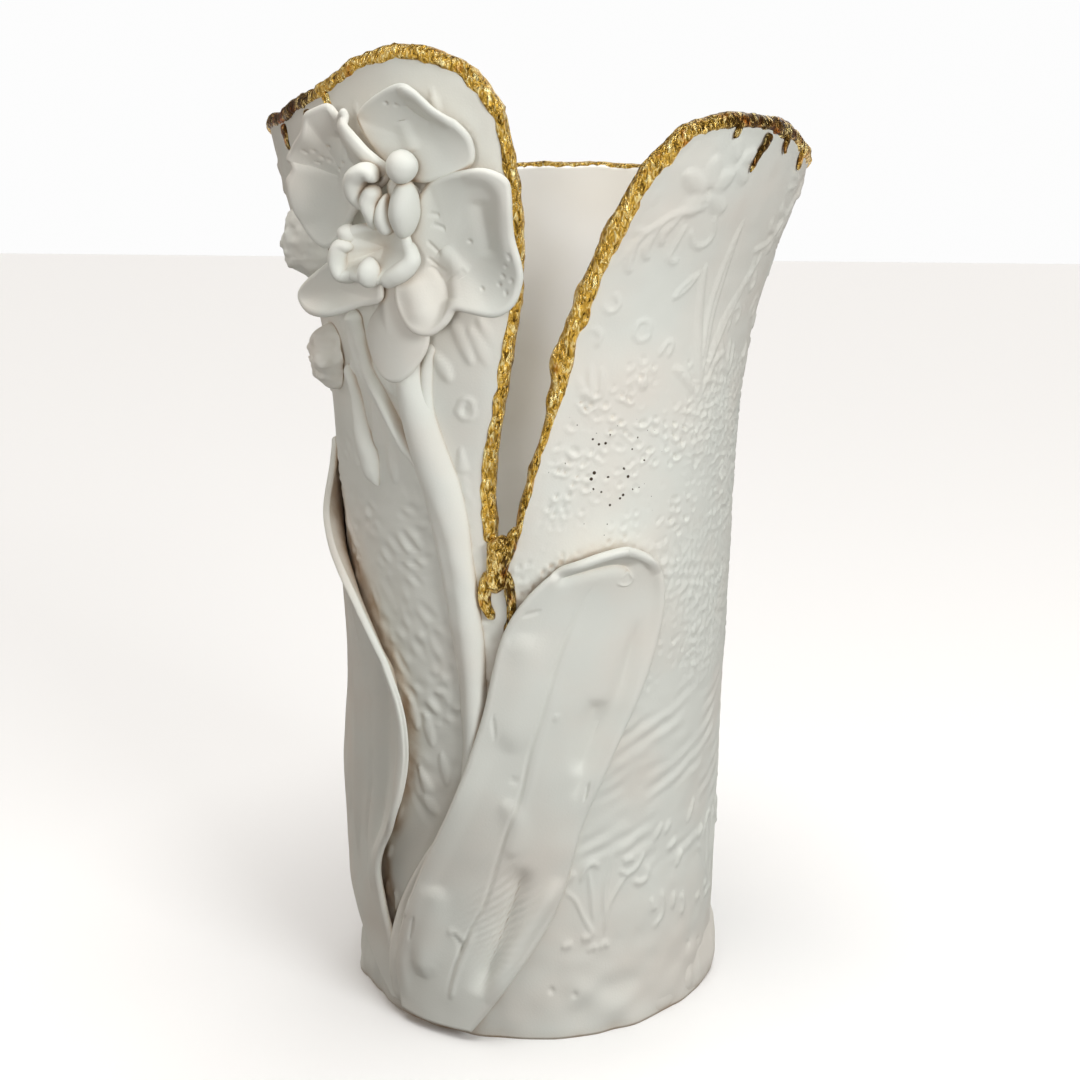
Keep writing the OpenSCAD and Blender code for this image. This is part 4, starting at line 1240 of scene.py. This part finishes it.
class VASE_OT_leaves(bpy.types.Operator):
    """Builds the two long leaves that wrap the foot"""

    bl_idname = "vase.leaves"
    bl_label = "Leaves"

    def execute(self, context):
        thick = mm("leaf")
        left = [[-33, 4, 2.2], [-34, 22, 2.6], [-25, 50, 4.5], [-13, 79, 5], [-5, 106, 3],
                [1, 133, 2.2], [11, 149, 3.4], [22, 156, 4.6], [31, 158.5, 4]]
        middle = [[-22, 3, 2.2], [-14, 22, 2], [-6, 47, 1], [5, 73, 0.6], [10, 98, 0.2],
                  [17, 122, 0], [24, 141, 0], [29, 150, 1.2], [31, 158.5, 4]]
        right = [[-9, 3, 2.2], [1, 19, 1.8], [15, 44, 0], [22, 70, 0], [30, 92, 0], [40, 117, 0],
                 [44.5, 137, 0.5], [42, 151, 1.6], [31, 158.5, 4]]
        bend = [
            (2.6, 2.0, "line", [[14, 152], [20, 155.4], [26, 157.6], [32, 158], [38, 155], [42, 149]]),
            (-2.2, 2.6, "line", [[13, 149.6], [21, 152], [29, 153.2], [35.5, 151]]),
            (1.2, 2.8, "line", [[39.5, 157], [43.5, 146], [43, 132], [37, 112], [30, 92], [23, 74]]),
            (-1.3, 4.5, "leaf", [[37, 136], [33, 116], [26, 98], [19, 80]]),
            (-1.6, 5, "leaf", [[26, 112], [24, 102], [20, 88]]),
            (1.0, 8, "leaf", [[6, 134], [6, 116], [2, 96]]),
            (-2.4, 4.2, "line", [[6, 60], [3.4, 50], [0.6, 40], [-3.4, 28], [-7.4, 16]]),
            (1.5, 2.6, "line", [[16, 56], [11, 46], [6.6, 38], [1, 26], [-4.6, 14]]),
            (1.4, 6, "leaf", [[-18, 52], [-22, 36], [-24, 18]]),
            (1.0, 3, "line", [[-3, 96], [-12, 74], [-22, 50], [-30, 26], [-31, 8]]),
            (0.7, 4, "leaf", [[0, 82], [4, 72], [2, 62]]),
        ]
        marks = [
            (-0.8, 0.6, "line", [[26, 151], [21.3, 142.7], [15.5, 127.9], [11.6, 112.5], [7.9, 98.5],
                                 [5, 84], [-0.6, 64.5], [-5, 47.6], [-9.6, 37], [-14.4, 22.4],
                                 [-16.4, 12]]),
            (0.25, 1.5, "line", [[23.3, 142], [17.6, 127], [13.6, 112], [10, 98], [7, 83], [1.4, 64]]),
            (0.6, 0.9, "line", [[-7.6, 38], [-12.4, 24], [-15, 13]]),
            (0.5, 0.45, "line", [[30.5, 148.5], [33, 149.8], [34.3, 148.2], [33, 146.6], [30.8, 147],
                                 [30.5, 148.5]]),
            (1.0, 0.6, "line", [[14.4, 107.6], [14.6, 107.2]]),
            (-0.7, 0.8, "leaf", [[-15, 36], [-12.2, 33], [-12.4, 28]]),
            (0.4, 1.6, "leaf", [[-16, 37], [-11, 33.5]]), (-0.5, 0.5, "leaf", [[27, 105], [24.6, 98]]),
            (-0.6, 0.5, "leaf", [[24, 86], [22.6, 80]]), (-0.5, 0.7, "leaf", [[-2, 108], [-1.4, 101]]),
            (-0.5, 0.8, "leaf", [[2, 88], [5, 86.5]]), (-0.5, 0.7, "leaf", [[5.5, 139], [10.5, 140.5]]),
            (0.5, 0.8, "leaf", [[-26, 46], [-28, 38]]), (-0.5, 0.6, "leaf", [[-25, 40], [-27.5, 30]]),
        ]
        solid = leaf(left, middle, right, thick, 300, 116, bend, marks, self.woven)
        add_clay("leaf_right_blade", solid, "leaf_right")
        left = [[-38, 5, 1.6], [-58, 24, 1.6], [-78, 44, 2.4], [-86, 72, 3.4], [-88, 103, 0],
                [-88, 135, 0], [-85, 158, 0.6], [-79, 180, 0]]
        middle = [[-35, 5, 1.6], [-46, 26, 1.6], [-54, 50, 1], [-46, 78, 0], [-44, 105, 0],
                  [-58, 136, 0], [-76, 160, 0.6], [-78.5, 180, 0]]
        right = [[-33, 5, 1.6], [-37, 26, 2.5], [-41, 50, 3.5], [-29.5, 76, 3.5], [-28, 105, 3],
                 [-42, 134, 3.4], [-66, 158, 3], [-78, 180, 0]]
        bend = [
            (2.2, 3.2, "line", [[-39, 40], [-34, 60], [-31, 78], [-29.5, 105], [-42, 132], [-65, 157],
                                [-74, 172]]),
            (-1.8, 5, "leaf", [[-36, 122], [-38, 100], [-40, 76], [-46, 50]]),
            (1.2, 4, "leaf", [[-60, 130], [-56, 100], [-58, 70], [-58, 44]]),
            (-1.0, 5, "leaf", [[-74, 140], [-72, 105], [-72, 70]]),
        ]
        marks = [
            (-0.8, 0.8, "line", [[-78, 168], [-66, 146], [-53, 124], [-47, 104], [-47, 80], [-50, 56],
                                 [-46, 34]]),
            (0.5, 1.2, "leaf", [[-64, 120], [-62, 90], [-64, 60]]),
        ]
        solid = leaf(left, middle, right, thick - 0.6, 240, 80, bend, marks)
        add_clay("leaf_left_blade", solid, "leaf_left")
        return {"FINISHED"}

    def woven(self, angle, height):
        """The print of the cloth that the leaf was rolled on.

        Its real threads are under 1 mm apart; they are drawn at 1.9 mm so that they show.
        """
        pitch, radius = 1.9, 62
        x = np.radians(angle) * radius / pitch
        y = height / pitch
        weave = np.sin(2 * math.pi * (x + 0.2 * y)) * np.sin(2 * math.pi * (y - 0.2 * x))
        patch = np.exp(-(((angle + 3.5) / 6.5) ** 2 + ((height - 38) / 15) ** 2))
        second = np.exp(-(((angle - 3) / 5) ** 2 + ((height - 50) / 9) ** 2))
        return 0.42 * weave * np.clip(patch + second, 0, 1)


class VASE_OT_stems(bpy.types.Operator):
    """Builds the main stem and the three thinner stalks"""

    bl_idname = "vase.stems"
    bl_label = "Stems"

    def execute(self, context):
        main = [[-34, 4, 1.3, 9, 3], [-35, 20, 1.2, 10, 4], [-31, 37, 0, 11, 4], [-21, 56, 0, 9, 4],
                [-11.5, 74, 0, 6, 4], [-8.5, 95, 0, 7, 4.5], [-8.5, 118, 0, 9, 4.5],
                [-10.8, 142, 0, 10.5, 4.5], [-14.5, 168, 0, 12, 5], [-20.5, 190, 0, 11, 5.5],
                [-23, 206, 0, 9, 6], [-21.5, 222, 0, 8, 7]]
        creases = [
            (-0.5, 2.2, "line", [[-19.5, 176], [-14.6, 158], [-12.6, 140], [-11, 120], [-10.4, 98]]),
            (-0.8, 1.4, "line", [[-14, 74], [-22, 58], [-31, 40], [-35, 20]]),
        ]
        side = [[-16.5, 216, 0, 3.4, 1.8], [-18.4, 208, 0, 4, 2.4], [-19, 200, 0, 4, 2.4],
                [-18, 191, 0, 3.8, 2.2], [-15, 182, 0, 3.4, 1.8], [-12.2, 174, 0, 2, 1]]
        flower = [[-41, 224, 0, 6, 3.5], [-40, 210, 0, 6, 4], [-34.5, 200, 0, 5, 3.6],
                  [-27, 188, 0, 4, 3], [-21.5, 177, 0, 2.6, 1.6]]
        bud = [[-49, 207, 0, 3, 2], [-45, 199, 0, 3.4, 2.6], [-43.5, 190, 0, 5.5, 3.4],
               [-41.5, 182, 0, 8, 4], [-40, 176, 0, 6, 3], [-38.5, 172, 0, 2, 1.4]]
        ribs = [(0.9, 1.3, "line", [[-39, 218], [-36, 205], [-30, 194], [-24, 181]]),
                (-0.7, 1, "line", [[-41, 222], [-38.5, 207], [-32, 196]])]
        add_clay("main_stem", strip(main, 340, 40, lumps=0.35, grain=12, marks=creases), "stem_main")
        add_clay("side_stem", strip(side, 90, 20, lumps=0.2, seed=62), "stem_side")
        add_clay("flower_stem", strip(flower, 110, 26, lumps=0.3, seed=64, marks=ribs), "flower_stalk")
        add_clay("bud_stem", strip(bud, 90, 22, lumps=0.3, seed=66), "bud_stalk")
        return {"FINISHED"}


class VASE_OT_buds(bpy.types.Operator):
    """Builds the two crumpled buds on the left"""

    bl_idname = "vase.buds"
    bl_label = "Buds"

    def execute(self, context):
        upper = [
            (-1.1, 0.9, "line", [[-58, 250], [-54, 245], [-53.4, 238]]),
            (1.2, 1.7, "leaf", [[-51.6, 247], [-50, 243], [-51.4, 239]]),
            (-0.9, 0.7, "line", [[-47.6, 250], [-46, 244], [-47, 238]]),
            (1.0, 1.3, "drop", [[-57, 243.6], [-56, 241]]),
            (-0.9, 0.8, "line", [[-60, 244], [-57, 240.4]]),
            (0.9, 1.1, "leaf", [[-49, 238.6], [-52.6, 235.6]]),
            (0.9, 1.0, "leaf", [[-55, 251], [-51, 252]]),
            (-0.8, 0.7, "line", [[-52, 234.6], [-49, 236.4]]),
        ]
        lower = [
            (-1.0, 0.8, "line", [[-56, 216], [-57.4, 210], [-56, 203]]),
            (1.1, 1.5, "leaf", [[-60.6, 213], [-61, 207]]),
            (1.1, 1.4, "leaf", [[-54, 211], [-53, 205.6]]),
            (-0.8, 0.7, "line", [[-51, 213.6], [-50.6, 206]]),
            (0.9, 1.1, "drop", [[-57, 204.4], [-55, 202]]),
            (-0.8, 0.6, "line", [[-62, 210], [-58, 205.6]]),
            (0.8, 1.0, "leaf", [[-58, 216.4], [-54, 215]]),
        ]
        knobbly = {"along": 110, "around": 72, "sunk": 1.5, "lumps": 1.3, "grain": 4.4}
        add_clay("upper_bud", ball([-53.4, 232, 0], [-50, 253.5, 0], 20, 9.4, seed=91, marks=upper,
                                   **knobbly), "bud_upper")
        add_clay("lower_bud", ball([-58.8, 198.5, 0], [-56.4, 218.5, 0], 15, 8, seed=93, marks=lower,
                                   **knobbly), "bud_lower")
        return {"FINISHED"}


class VASE_OT_petals(bpy.types.Operator):
    """Builds the three sepals and the two broad petals of the orchid"""

    bl_idname = "vase.petals"
    bl_label = "Petals"

    def execute(self, context):
        petals = {
            "sepal_top": petal(
                [[-22, 277.7, 6], [-21.5, 274, 6], [-19.6, 269, 5.5], [-16, 263, 5], [-10, 260, 5],
                 [-1.8, 264, 6], [-0.9, 270.3, 7], [-3.4, 275.4, 8.5], [-6.7, 279, 9], [-9.6, 283.2, 9],
                 [-12.8, 284.6, 8], [-18.4, 281.4, 7]],
                [-11.5, 271, 4.6], 2.0,
                bend=[(1.3, 1.3, "line", [[-12.6, 283.4], [-9.4, 281.6], [-6.5, 277.6], [-3.6, 274.8]]),
                      (-1.0, 1.3, "line", [[-12.4, 280.8], [-10.6, 278.2], [-7, 275.2]]),
                      (0.5, 2.4, "line", [[-13, 276], [-12, 268]])],
                marks=self.pits([[-15.4, 280.6], [-13.6, 280]]), seed=81),
            "petal_left": petal(
                [[-25.4, 280, 11], [-28.3, 278.8, 12], [-30, 277.3, 12.5], [-31.2, 273.2, 12.5],
                 [-34.2, 269.6, 12.5], [-36, 266.2, 13], [-35.4, 263.8, 12.5], [-37, 259.8, 12.5],
                 [-37.6, 254.3, 12.5], [-36.6, 246.8, 12], [-32.8, 242.3, 11], [-28, 247, 9],
                 [-23, 254, 8.5], [-16.4, 260.5, 8.5], [-15, 263.4, 9], [-18.6, 269, 10],
                 [-21, 274.5, 11.5], [-22, 278.6, 11.5], [-24, 277.4, 10]],
                [-27.5, 261, 4.6], 1.8,
                bend=[(2.2, 2.3, "line", [[-22.6, 276.6], [-21.6, 271.4], [-19.2, 266.6],
                                          [-16.4, 262.6]]),
                      (-1.4, 2.6, "line", [[-26, 274], [-25, 268], [-23, 261]]),
                      (1.5, 3.6, "line", [[-36.6, 260], [-36, 253]]),
                      (-0.5, 2.4, "line", [[-34, 266], [-31, 263], [-28, 262]])],
                marks=self.pits([[-28.5, 270], [-32.5, 268.9], [-30.9, 269], [-30.3, 267.4],
                                 [-29.3, 266.4], [-31.6, 266], [-26.8, 265.5], [-28, 264]]),
                seed=83),
            "petal_right": petal(
                [[-10.3, 259, 5.5], [-7.5, 261.4, 6.5], [-2.9, 263.1, 8], [1.2, 263.8, 8.6],
                 [4.5, 261.5, 9], [5.4, 257.7, 9], [5.6, 247.3, 9.5], [6.8, 239.3, 11], [6.9, 234.4, 12],
                 [5.3, 228.5, 12.6], [1.8, 225.4, 12.4], [-3.4, 226.2, 11], [-6.3, 226.6, 10.4],
                 [-8.4, 222.6, 11.4],
                 [-11.6, 219.8, 12.4], [-15.5, 221.2, 12.4], [-18.3, 226.6, 10.5], [-18.6, 232, 9],
                 [-17.4, 240, 7], [-15, 250, 6]],
                [-7, 244, 3.4], 2.2,
                bend=[(1.0, 2.2, "line", [[-3, 261.6], [1.4, 261.8], [3.8, 257], [3.8, 247], [5, 238]]),
                      (-1.4, 2.8, "line", [[-0.5, 257], [0.6, 249], [1.4, 241]]),
                      (2.2, 4.2, "line", [[-15, 232], [-13.4, 226]]),
                      (-1.0, 2.2, "line", [[-11.6, 240], [-8.6, 232.6], [-7.4, 228]]),
                      (0.8, 2.6, "line", [[-9, 243], [-4.6, 236]])],
                marks=self.creases() + self.pits([[5, 241.6], [4.3, 239.2], [3.7, 236.5], [5.4, 235.3],
                                                  [3, 234], [4.3, 231.8], [-0.8, 232.5], [-2.9, 245.5]]),
                seed=85),
            "sepal_left": petal(
                [[-24, 241, 9], [-33.5, 238.8, 9.5], [-40, 234.6, 11], [-44, 230.2, 13],
                 [-43.8, 226.4, 14], [-39.8, 223.9, 15], [-34.3, 223.9, 14.5], [-27.2, 226.8, 12],
                 [-21.6, 229.8, 10]],
                [-33, 231.5, 8.8], 2.4, seed=87),
            "sepal_bottom": petal(
                [[-22, 234, 4], [-24.9, 227.5, 5], [-27.8, 222.7, 6.5], [-28.6, 218, 7.5],
                 [-27, 211.8, 9], [-23.6, 206.5, 10.4], [-19.7, 206.3, 10.4], [-15.7, 211, 9],
                 [-13.1, 218.5, 7.5], [-15.5, 228, 5.5]],
                [-21, 217.5, 9.4], 2.2, seed=89),
        }
        for name, solid in petals.items():
            add_clay("orchid_" + name, solid, name)
        return {"FINISHED"}

    def pits(self, places):
        """Pinpricks in the clay, 0.9 mm across and pressed in as deep."""
        return [(-0.8, 0.45, "line", [[angle, height], [angle + 0.2, height - 0.2]])
                for angle, height in places]

    def creases(self):
        """Folds that run out over the right petal from its throat."""
        starts = [[-10.4, 252.8], [-10.2, 250], [-11.7, 245.4], [-12.4, 241], [-12.1, 238.8],
                  [-8.4, 234.3]]
        ends = [[-8.2, 252.1], [-7.4, 248.6], [-8.8, 241.2], [-7.7, 236.4], [-9.9, 234.8],
                [-4.4, 237.6]]
        return [(-0.4, 0.6, "line", [start, end]) for start, end in zip(starts, ends)]


class VASE_OT_heart(bpy.types.Operator):
    """Builds the heart of the orchid: lip, callus, side lobes, column and pollen cap"""

    bl_idname = "vase.heart"
    bl_label = "Orchid heart"

    def execute(self, context):
        how = {"lumps": 0.22, "grain": 4}
        pad = ball([-18, 236, 0], [-16, 260, 0], 15, 8, sunk=1, lumps=0.5, seed=101)
        lip = petal(
            [[-17.5, 249.6, 11], [-21.6, 249, 14], [-24, 247.4, 16], [-25, 244.4, 17.5],
             [-26.2, 241.6, 18], [-26.8, 238, 18.5], [-25, 235.8, 19], [-21.8, 234.6, 19.5],
             [-18.6, 234, 19], [-14.8, 236.6, 18], [-12.8, 239.6, 16], [-12.4, 243, 14],
             [-13.6, 247.6, 11.5]],
            [-19, 243.6, 8.4], 1.3, seed=103, ruffle=0.6, thickness=3.0)
        callus = [
            ball([-24.6, 244.4, 16.5], [-23, 249.2, 15], 5.2, 3.4, seed=105, **how),
            strip([[-22.8, 243.4, 16.6, 3, 2.4], [-24.6, 243.4, 18, 4.4, 3.6],
                   [-25.6, 239.6, 18.8, 4.6, 4], [-25, 236, 18.8, 4.6, 3.8],
                   [-22.6, 236.4, 18, 3.4, 2.4]], 50, 24, sunk=2, lumps=0.2, grain=4, seed=107),
            ball([-19.9, 233, 18.6], [-19.1, 241, 18.6], 5.8, 4.6, seed=109, **how),
            strip([[-18, 234, 17.6, 4.4, 2.6], [-15, 236.4, 17, 5, 3.2], [-12.6, 239.6, 15, 5, 3],
                   [-13, 242.6, 13, 4, 2.4], [-14.6, 244.4, 11, 3, 2]],
                  50, 22, sunk=2.4, lumps=0.35, seed=111),
        ]
        lobes = [
            strip([[-20.2, 253.6, 12, 4, 3], [-20.8, 257.6, 13.6, 5.4, 4.4], [-20, 261.2, 14.6, 5.6, 4.8],
                   [-17.9, 262.8, 14.6, 4.8, 4.2], [-16.6, 260.8, 13.4, 3.6, 3]],
                  60, 26, sunk=4, lumps=0.2, seed=113),
            strip([[-17, 259.4, 13.6, 4.4, 3.2], [-18.4, 255.4, 14.6, 4.6, 4],
                   [-18.4, 251.8, 14.2, 4.2, 3.4], [-18.9, 248.4, 12.6, 2.8, 2]],
                  50, 24, sunk=3, lumps=0.25, seed=117),
            strip([[-15.7, 257.4, 12.4, 1.6, 1.6], [-16.5, 253, 13.6, 4, 3.4],
                   [-16.6, 249.8, 13.4, 5, 3.6], [-16.3, 247.2, 12.6, 3.4, 2.4]],
                  50, 24, sunk=3, lumps=0.2, seed=119),
            ball([-13.4, 254, 10], [-14.6, 262, 10], 7, 3, sunk=3, seed=115, **how),
        ]
        column = ball([-14, 246, 11.6], [-12.2, 260.8, 11.6], 7.4, 5.8, sunk=5, seed=121, **how)
        cap = ball([-12.4, 260, 13], [-11.9, 268.4, 13], 8, 4.6, sunk=4.4, seed=123, **how)
        add_clay("flower_wad", pad, "flower_pad")
        add_clay("orchid_lip_cup", lip, "orchid_lip")
        add_clay("lip_lobes", join(callus), "lip_callus")
        add_clay("throat_lobes", join(lobes), "side_lobes")
        add_clay("orchid_column", column, "column")
        add_clay("orchid_pollen_cap", cap, "pollen_cap")
        return {"FINISHED"}


class VASE_OT_stage(bpy.types.Operator):
    """Lays the pale floor and sets up the soft lights and the camera"""

    bl_idname = "vase.stage"
    bl_label = "Stage"

    def execute(self, context):
        scene = context.scene
        mesh = bpy.data.meshes.new("floor")
        reach = 4.0
        corners = [(-reach, -reach, 0), (reach, -reach, 0), (reach, reach, 0), (-reach, reach, 0)]
        mesh.from_pydata(corners, [], [(0, 1, 2, 3)])
        mesh.materials.append(finish("studio_paper", studio_paper))
        ground = bpy.data.objects.new("studio_floor", mesh)
        scene.collection.objects.link(ground)
        # Light that the paper threw back up would wash out the shade under petals and leaves.
        ground.visible_diffuse = False
        ground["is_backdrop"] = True
        scene.world = self.sky()
        # A sun shines from no place, so it stands at the origin and its aim is its direction.
        origin = (0, 0, 0)
        wide = math.radians(40)
        middle = (0, 0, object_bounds()[1][2] / 2)
        soft_spot = {"spot_blend": 1.0, "shadow_soft_size": 0.1}
        self.light("skylight", "SUN", origin, (-0.03, 0.1, -1), 2.1, (1, 0.99, 0.97),
                   angle=math.radians(45))
        self.light("card_left", "SUN", origin, (1, -0.12, -0.36), 0.46, (1, 0.91, 0.82), angle=wide)
        self.light("window_back", "SUN", origin, (-0.2, -1, -0.5), 0.5, angle=wide)
        self.light("window_right", "AREA", (0.63, -0.61, 0.48), middle, 4.3, (0.98, 1, 1),
                   shape="SQUARE", size=0.36)
        self.light("spot_flower", "SPOT", (0.03, -0.72, 0.26), (-0.016, -0.09, 0.224), 18,
                   spot_size=math.radians(13), **soft_spot)
        self.light("spot_leaf", "SPOT", (0.22, -0.72, 0.12), (0.008, -0.075, 0.042), 7.5,
                   spot_size=math.radians(10.5), **soft_spot)
        camera = bpy.data.cameras.new("camera")
        camera.lens = 53.33
        camera.sensor_width = 36
        camera.clip_start = 0.01
        eye = bpy.data.objects.new("camera", camera)
        distance, azimuth, yaw, pitch = 0.5075, math.radians(9.7), 0.0015625, math.radians(13.3)
        eye.location = (distance * math.sin(azimuth), -distance * math.cos(azimuth), 0.2654)
        eye.rotation_euler = (math.pi / 2 - pitch, 0, azimuth - yaw)
        scene.collection.objects.link(eye)
        scene.camera = eye
        scene.view_settings.view_transform = "Standard"
        return {"FINISHED"}

    def sky(self):
        """A dim, warm sky for the shade, which the camera sees as a white backdrop."""
        world = bpy.data.worlds.new("white_studio")
        world.use_nodes = True
        tree = world.node_tree
        dim = tree.nodes["Background"]
        feed(tree, dim, {"Color": (1, 0.9, 0.82), "Strength": 0.17})
        backdrop = add_node(tree, "ShaderNodeBackground", {"Color": (1, 1, 1), "Strength": 0.98})
        path = add_node(tree, "ShaderNodeLightPath")
        seen = add_node(tree, "ShaderNodeMixShader", {0: path.outputs["Is Camera Ray"],
                                                      1: dim.outputs[0], 2: backdrop.outputs[0]})
        feed(tree, tree.nodes["World Output"], {"Surface": seen.outputs[0]})
        return world

    def light(self, name, kind, place, aim, power, tint=(1, 1, 1), **settings):
        """A light at a place that looks at its aim; the spots leave no glint on glaze or gold."""
        lamp = bpy.data.lights.new(name, kind)
        lamp.energy = power
        lamp.color = tint
        for setting, value in settings.items():
            setattr(lamp, setting, value)
        stand = bpy.data.objects.new(name, lamp)
        stand.location = place
        stand.rotation_euler = (Vector(aim) - Vector(place)).to_track_quat("-Z", "Y").to_euler()
        stand.visible_glossy = kind != "SPOT"
        bpy.context.scene.collection.objects.link(stand)


# ---------- the add-on ----------

STEPS = (VASE_OT_stage, VASE_OT_wall, VASE_OT_foot, VASE_OT_lining, VASE_OT_gilding, VASE_OT_leaves,
         VASE_OT_stems, VASE_OT_buds, VASE_OT_petals, VASE_OT_heart)


class VASE_PT_panel(bpy.types.Panel):
    """Lists the vase's pieces, its sizes and its colours"""

    bl_idname = "VASE_PT_panel"
    bl_label = "Porcelain vase"
    bl_space_type = "VIEW_3D"
    bl_region_type = "UI"
    bl_category = "Vase"

    def draw(self, context):
        for step in STEPS:
            self.layout.operator(step.bl_idname)
        for group in (context.scene.vase_sizes, context.scene.vase_colours):
            box = self.layout.box()
            for name in group.bl_rna.properties.keys():
                if name not in ("rna_type", "name"):
                    box.prop(group, name)


CLASSES = (VaseSizes, VaseColours, *STEPS, VASE_PT_panel)


def register():
    for item in CLASSES:
        bpy.utils.register_class(item)
    bpy.types.Scene.vase_sizes = PointerProperty(type=VaseSizes)
    bpy.types.Scene.vase_colours = PointerProperty(type=VaseColours)


def unregister():
    del bpy.types.Scene.vase_colours
    del bpy.types.Scene.vase_sizes
    for item in reversed(CLASSES):
        bpy.utils.unregister_class(item)


def main():
    register()
    for step in STEPS:
        family, name = step.bl_idname.split(".")
        getattr(getattr(bpy.ops, family), name)()
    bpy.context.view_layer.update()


if __name__ == "__main__":
    main()
